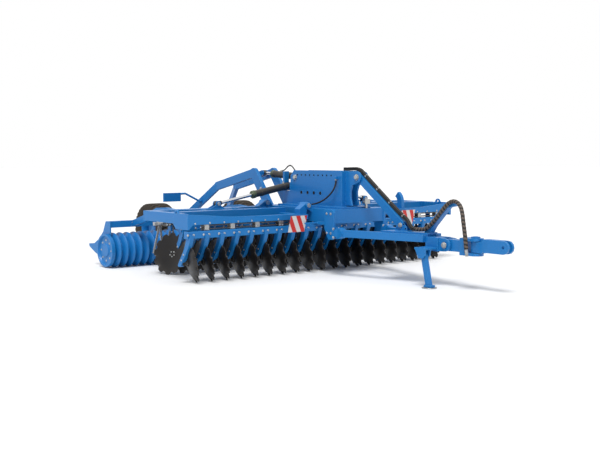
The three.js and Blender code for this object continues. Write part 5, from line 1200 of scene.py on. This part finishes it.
def dress_cad_nodes() -> None:
    """Gives each CAD node that is shown its procedural finish."""
    for name, node in frame["nodes"].items():
        if node.hide_render:
            continue
        finish = cad_finish(name, node)
        node.data.materials.clear()
        node.data.materials.append(material(finish))


@dataclass
class Studio:
    """The camera, the light and the pale floor."""

    camera_place: tuple[float, float, float] = (10.6695, -9.035, 1.708)
    yaw: float = 2.45601
    pitch: float = 0.07475
    lens: float = 54.1
    sensor: float = 36.0
    view_end: float = 500.0
    floor_reach: float = 120.0
    floor_z: float = -0.001
    sky: float = 0.62
    sun: float = 2.4
    sun_width: float = math.radians(22)
    sun_direction: tuple[float, float, float] = (-0.32, 0.42, -1.0)

    def add_camera(self) -> None:
        """Adds the camera at its given view."""
        data = bpy.data.cameras.new("camera")
        data.lens = self.lens
        data.sensor_width = self.sensor
        data.clip_end = self.view_end
        camera = bpy.data.objects.new("camera", data)
        level = math.cos(self.pitch)
        direction = Vector((level * math.cos(self.yaw), level * math.sin(self.yaw), -math.sin(self.pitch)))
        camera.location = self.camera_place
        camera.rotation_euler = direction.to_track_quat("-Z", "Y").to_euler()
        bpy.context.collection.objects.link(camera)
        bpy.context.scene.camera = camera
        bpy.context.scene.view_settings.view_transform = "Standard"

    def add_light(self) -> None:
        """Adds a soft key and a sky that the camera sees as white."""
        data = bpy.data.lights.new("key", "SUN")
        data.energy = self.sun
        data.angle = self.sun_width
        key = bpy.data.objects.new("key", data)
        key.rotation_euler = Vector(self.sun_direction).to_track_quat("-Z", "Y").to_euler()
        bpy.context.collection.objects.link(key)
        world = bpy.data.worlds.new("studio")
        world.use_nodes = True
        world.node_tree.nodes.clear()
        sheet = NodeSheet(world.node_tree)
        rays = sheet.add("LightPath").outputs
        seen = sheet.math("ADD", rays["Is Camera Ray"], rays["Is Glossy Ray"])
        seen = sheet.math("MINIMUM", sheet.math("ADD", seen, rays["Is Transmission Ray"]), 1.0)
        color = sheet.blend(seen, (self.sky, self.sky, self.sky, 1.0), (1.0, 1.0, 1.0, 1.0))
        background = sheet.add("Background", {"Color": color})
        sheet.add("OutputWorld", {"Surface": background.outputs[0]})
        bpy.context.scene.world = world

    def add_floor(self) -> None:
        """Adds the floor."""
        corners = [(x * self.floor_reach, y * self.floor_reach, self.floor_z) for x, y in FLOOR_CORNERS]
        mesh = bpy.data.meshes.new("floor")
        mesh.from_pydata(corners, [], [(0, 1, 2, 3)])
        mesh.materials.append(material(FLOOR))
        floor = bpy.data.objects.new("floor", mesh)
        bpy.context.collection.objects.link(floor)

    def build(self) -> None:
        """Sets up the studio."""
        self.add_camera()
        self.add_light()
        self.add_floor()


def build_side(side: Side) -> None:
    """Builds what each side of the machine has one of."""
    foot, eye = side.place(*FOLD_FOOT), side.place(*FOLD_EYE)
    Cylinder("fold", f"_{side.word}", foot, eye, AXIS_X, 0.12, 0.755, 0.678).build()
    fold_pin(side)
    RingRoller(side).build()
    RoadWheel(side).build()
    WingTrim(side).build()
    WarningBoard(side, 1.38 if side is Side.LEFT else 0.87).build()


def main() -> None:
    """Builds the scene in order."""
    logging.basicConfig(level=logging.INFO, format="%(name)s: %(message)s")
    Studio().build()
    HoseBundle().build()
    side_hose().build()
    lift_hose().build()
    FeedHoses().build()
    rows = [
        DiscRow("front_disc_row_left", 0.0, 0.125, 10, 1),
        DiscRow("front_disc_row_right", 0.0, -2.375, 10, 1),
        DiscRow("rear_disc_row_left", -1.0, 0.0, 10, -1),
        DiscRow("rear_disc_row_right", -1.0, -2.25, 9, -1),
    ]
    for row in rows:
        row.build()
    foot, eye = machine(*LIFT_FOOT), machine(*LIFT_EYE)
    Cylinder("lift", "", foot, eye, AXIS_Y, 0.268, 0.79, 0.59).build()
    for side in Side:
        build_side(side)
    ChassisTrim().build()
    foot_plate()
    dress_cad_nodes()


if __name__ == "__main__":
    main()
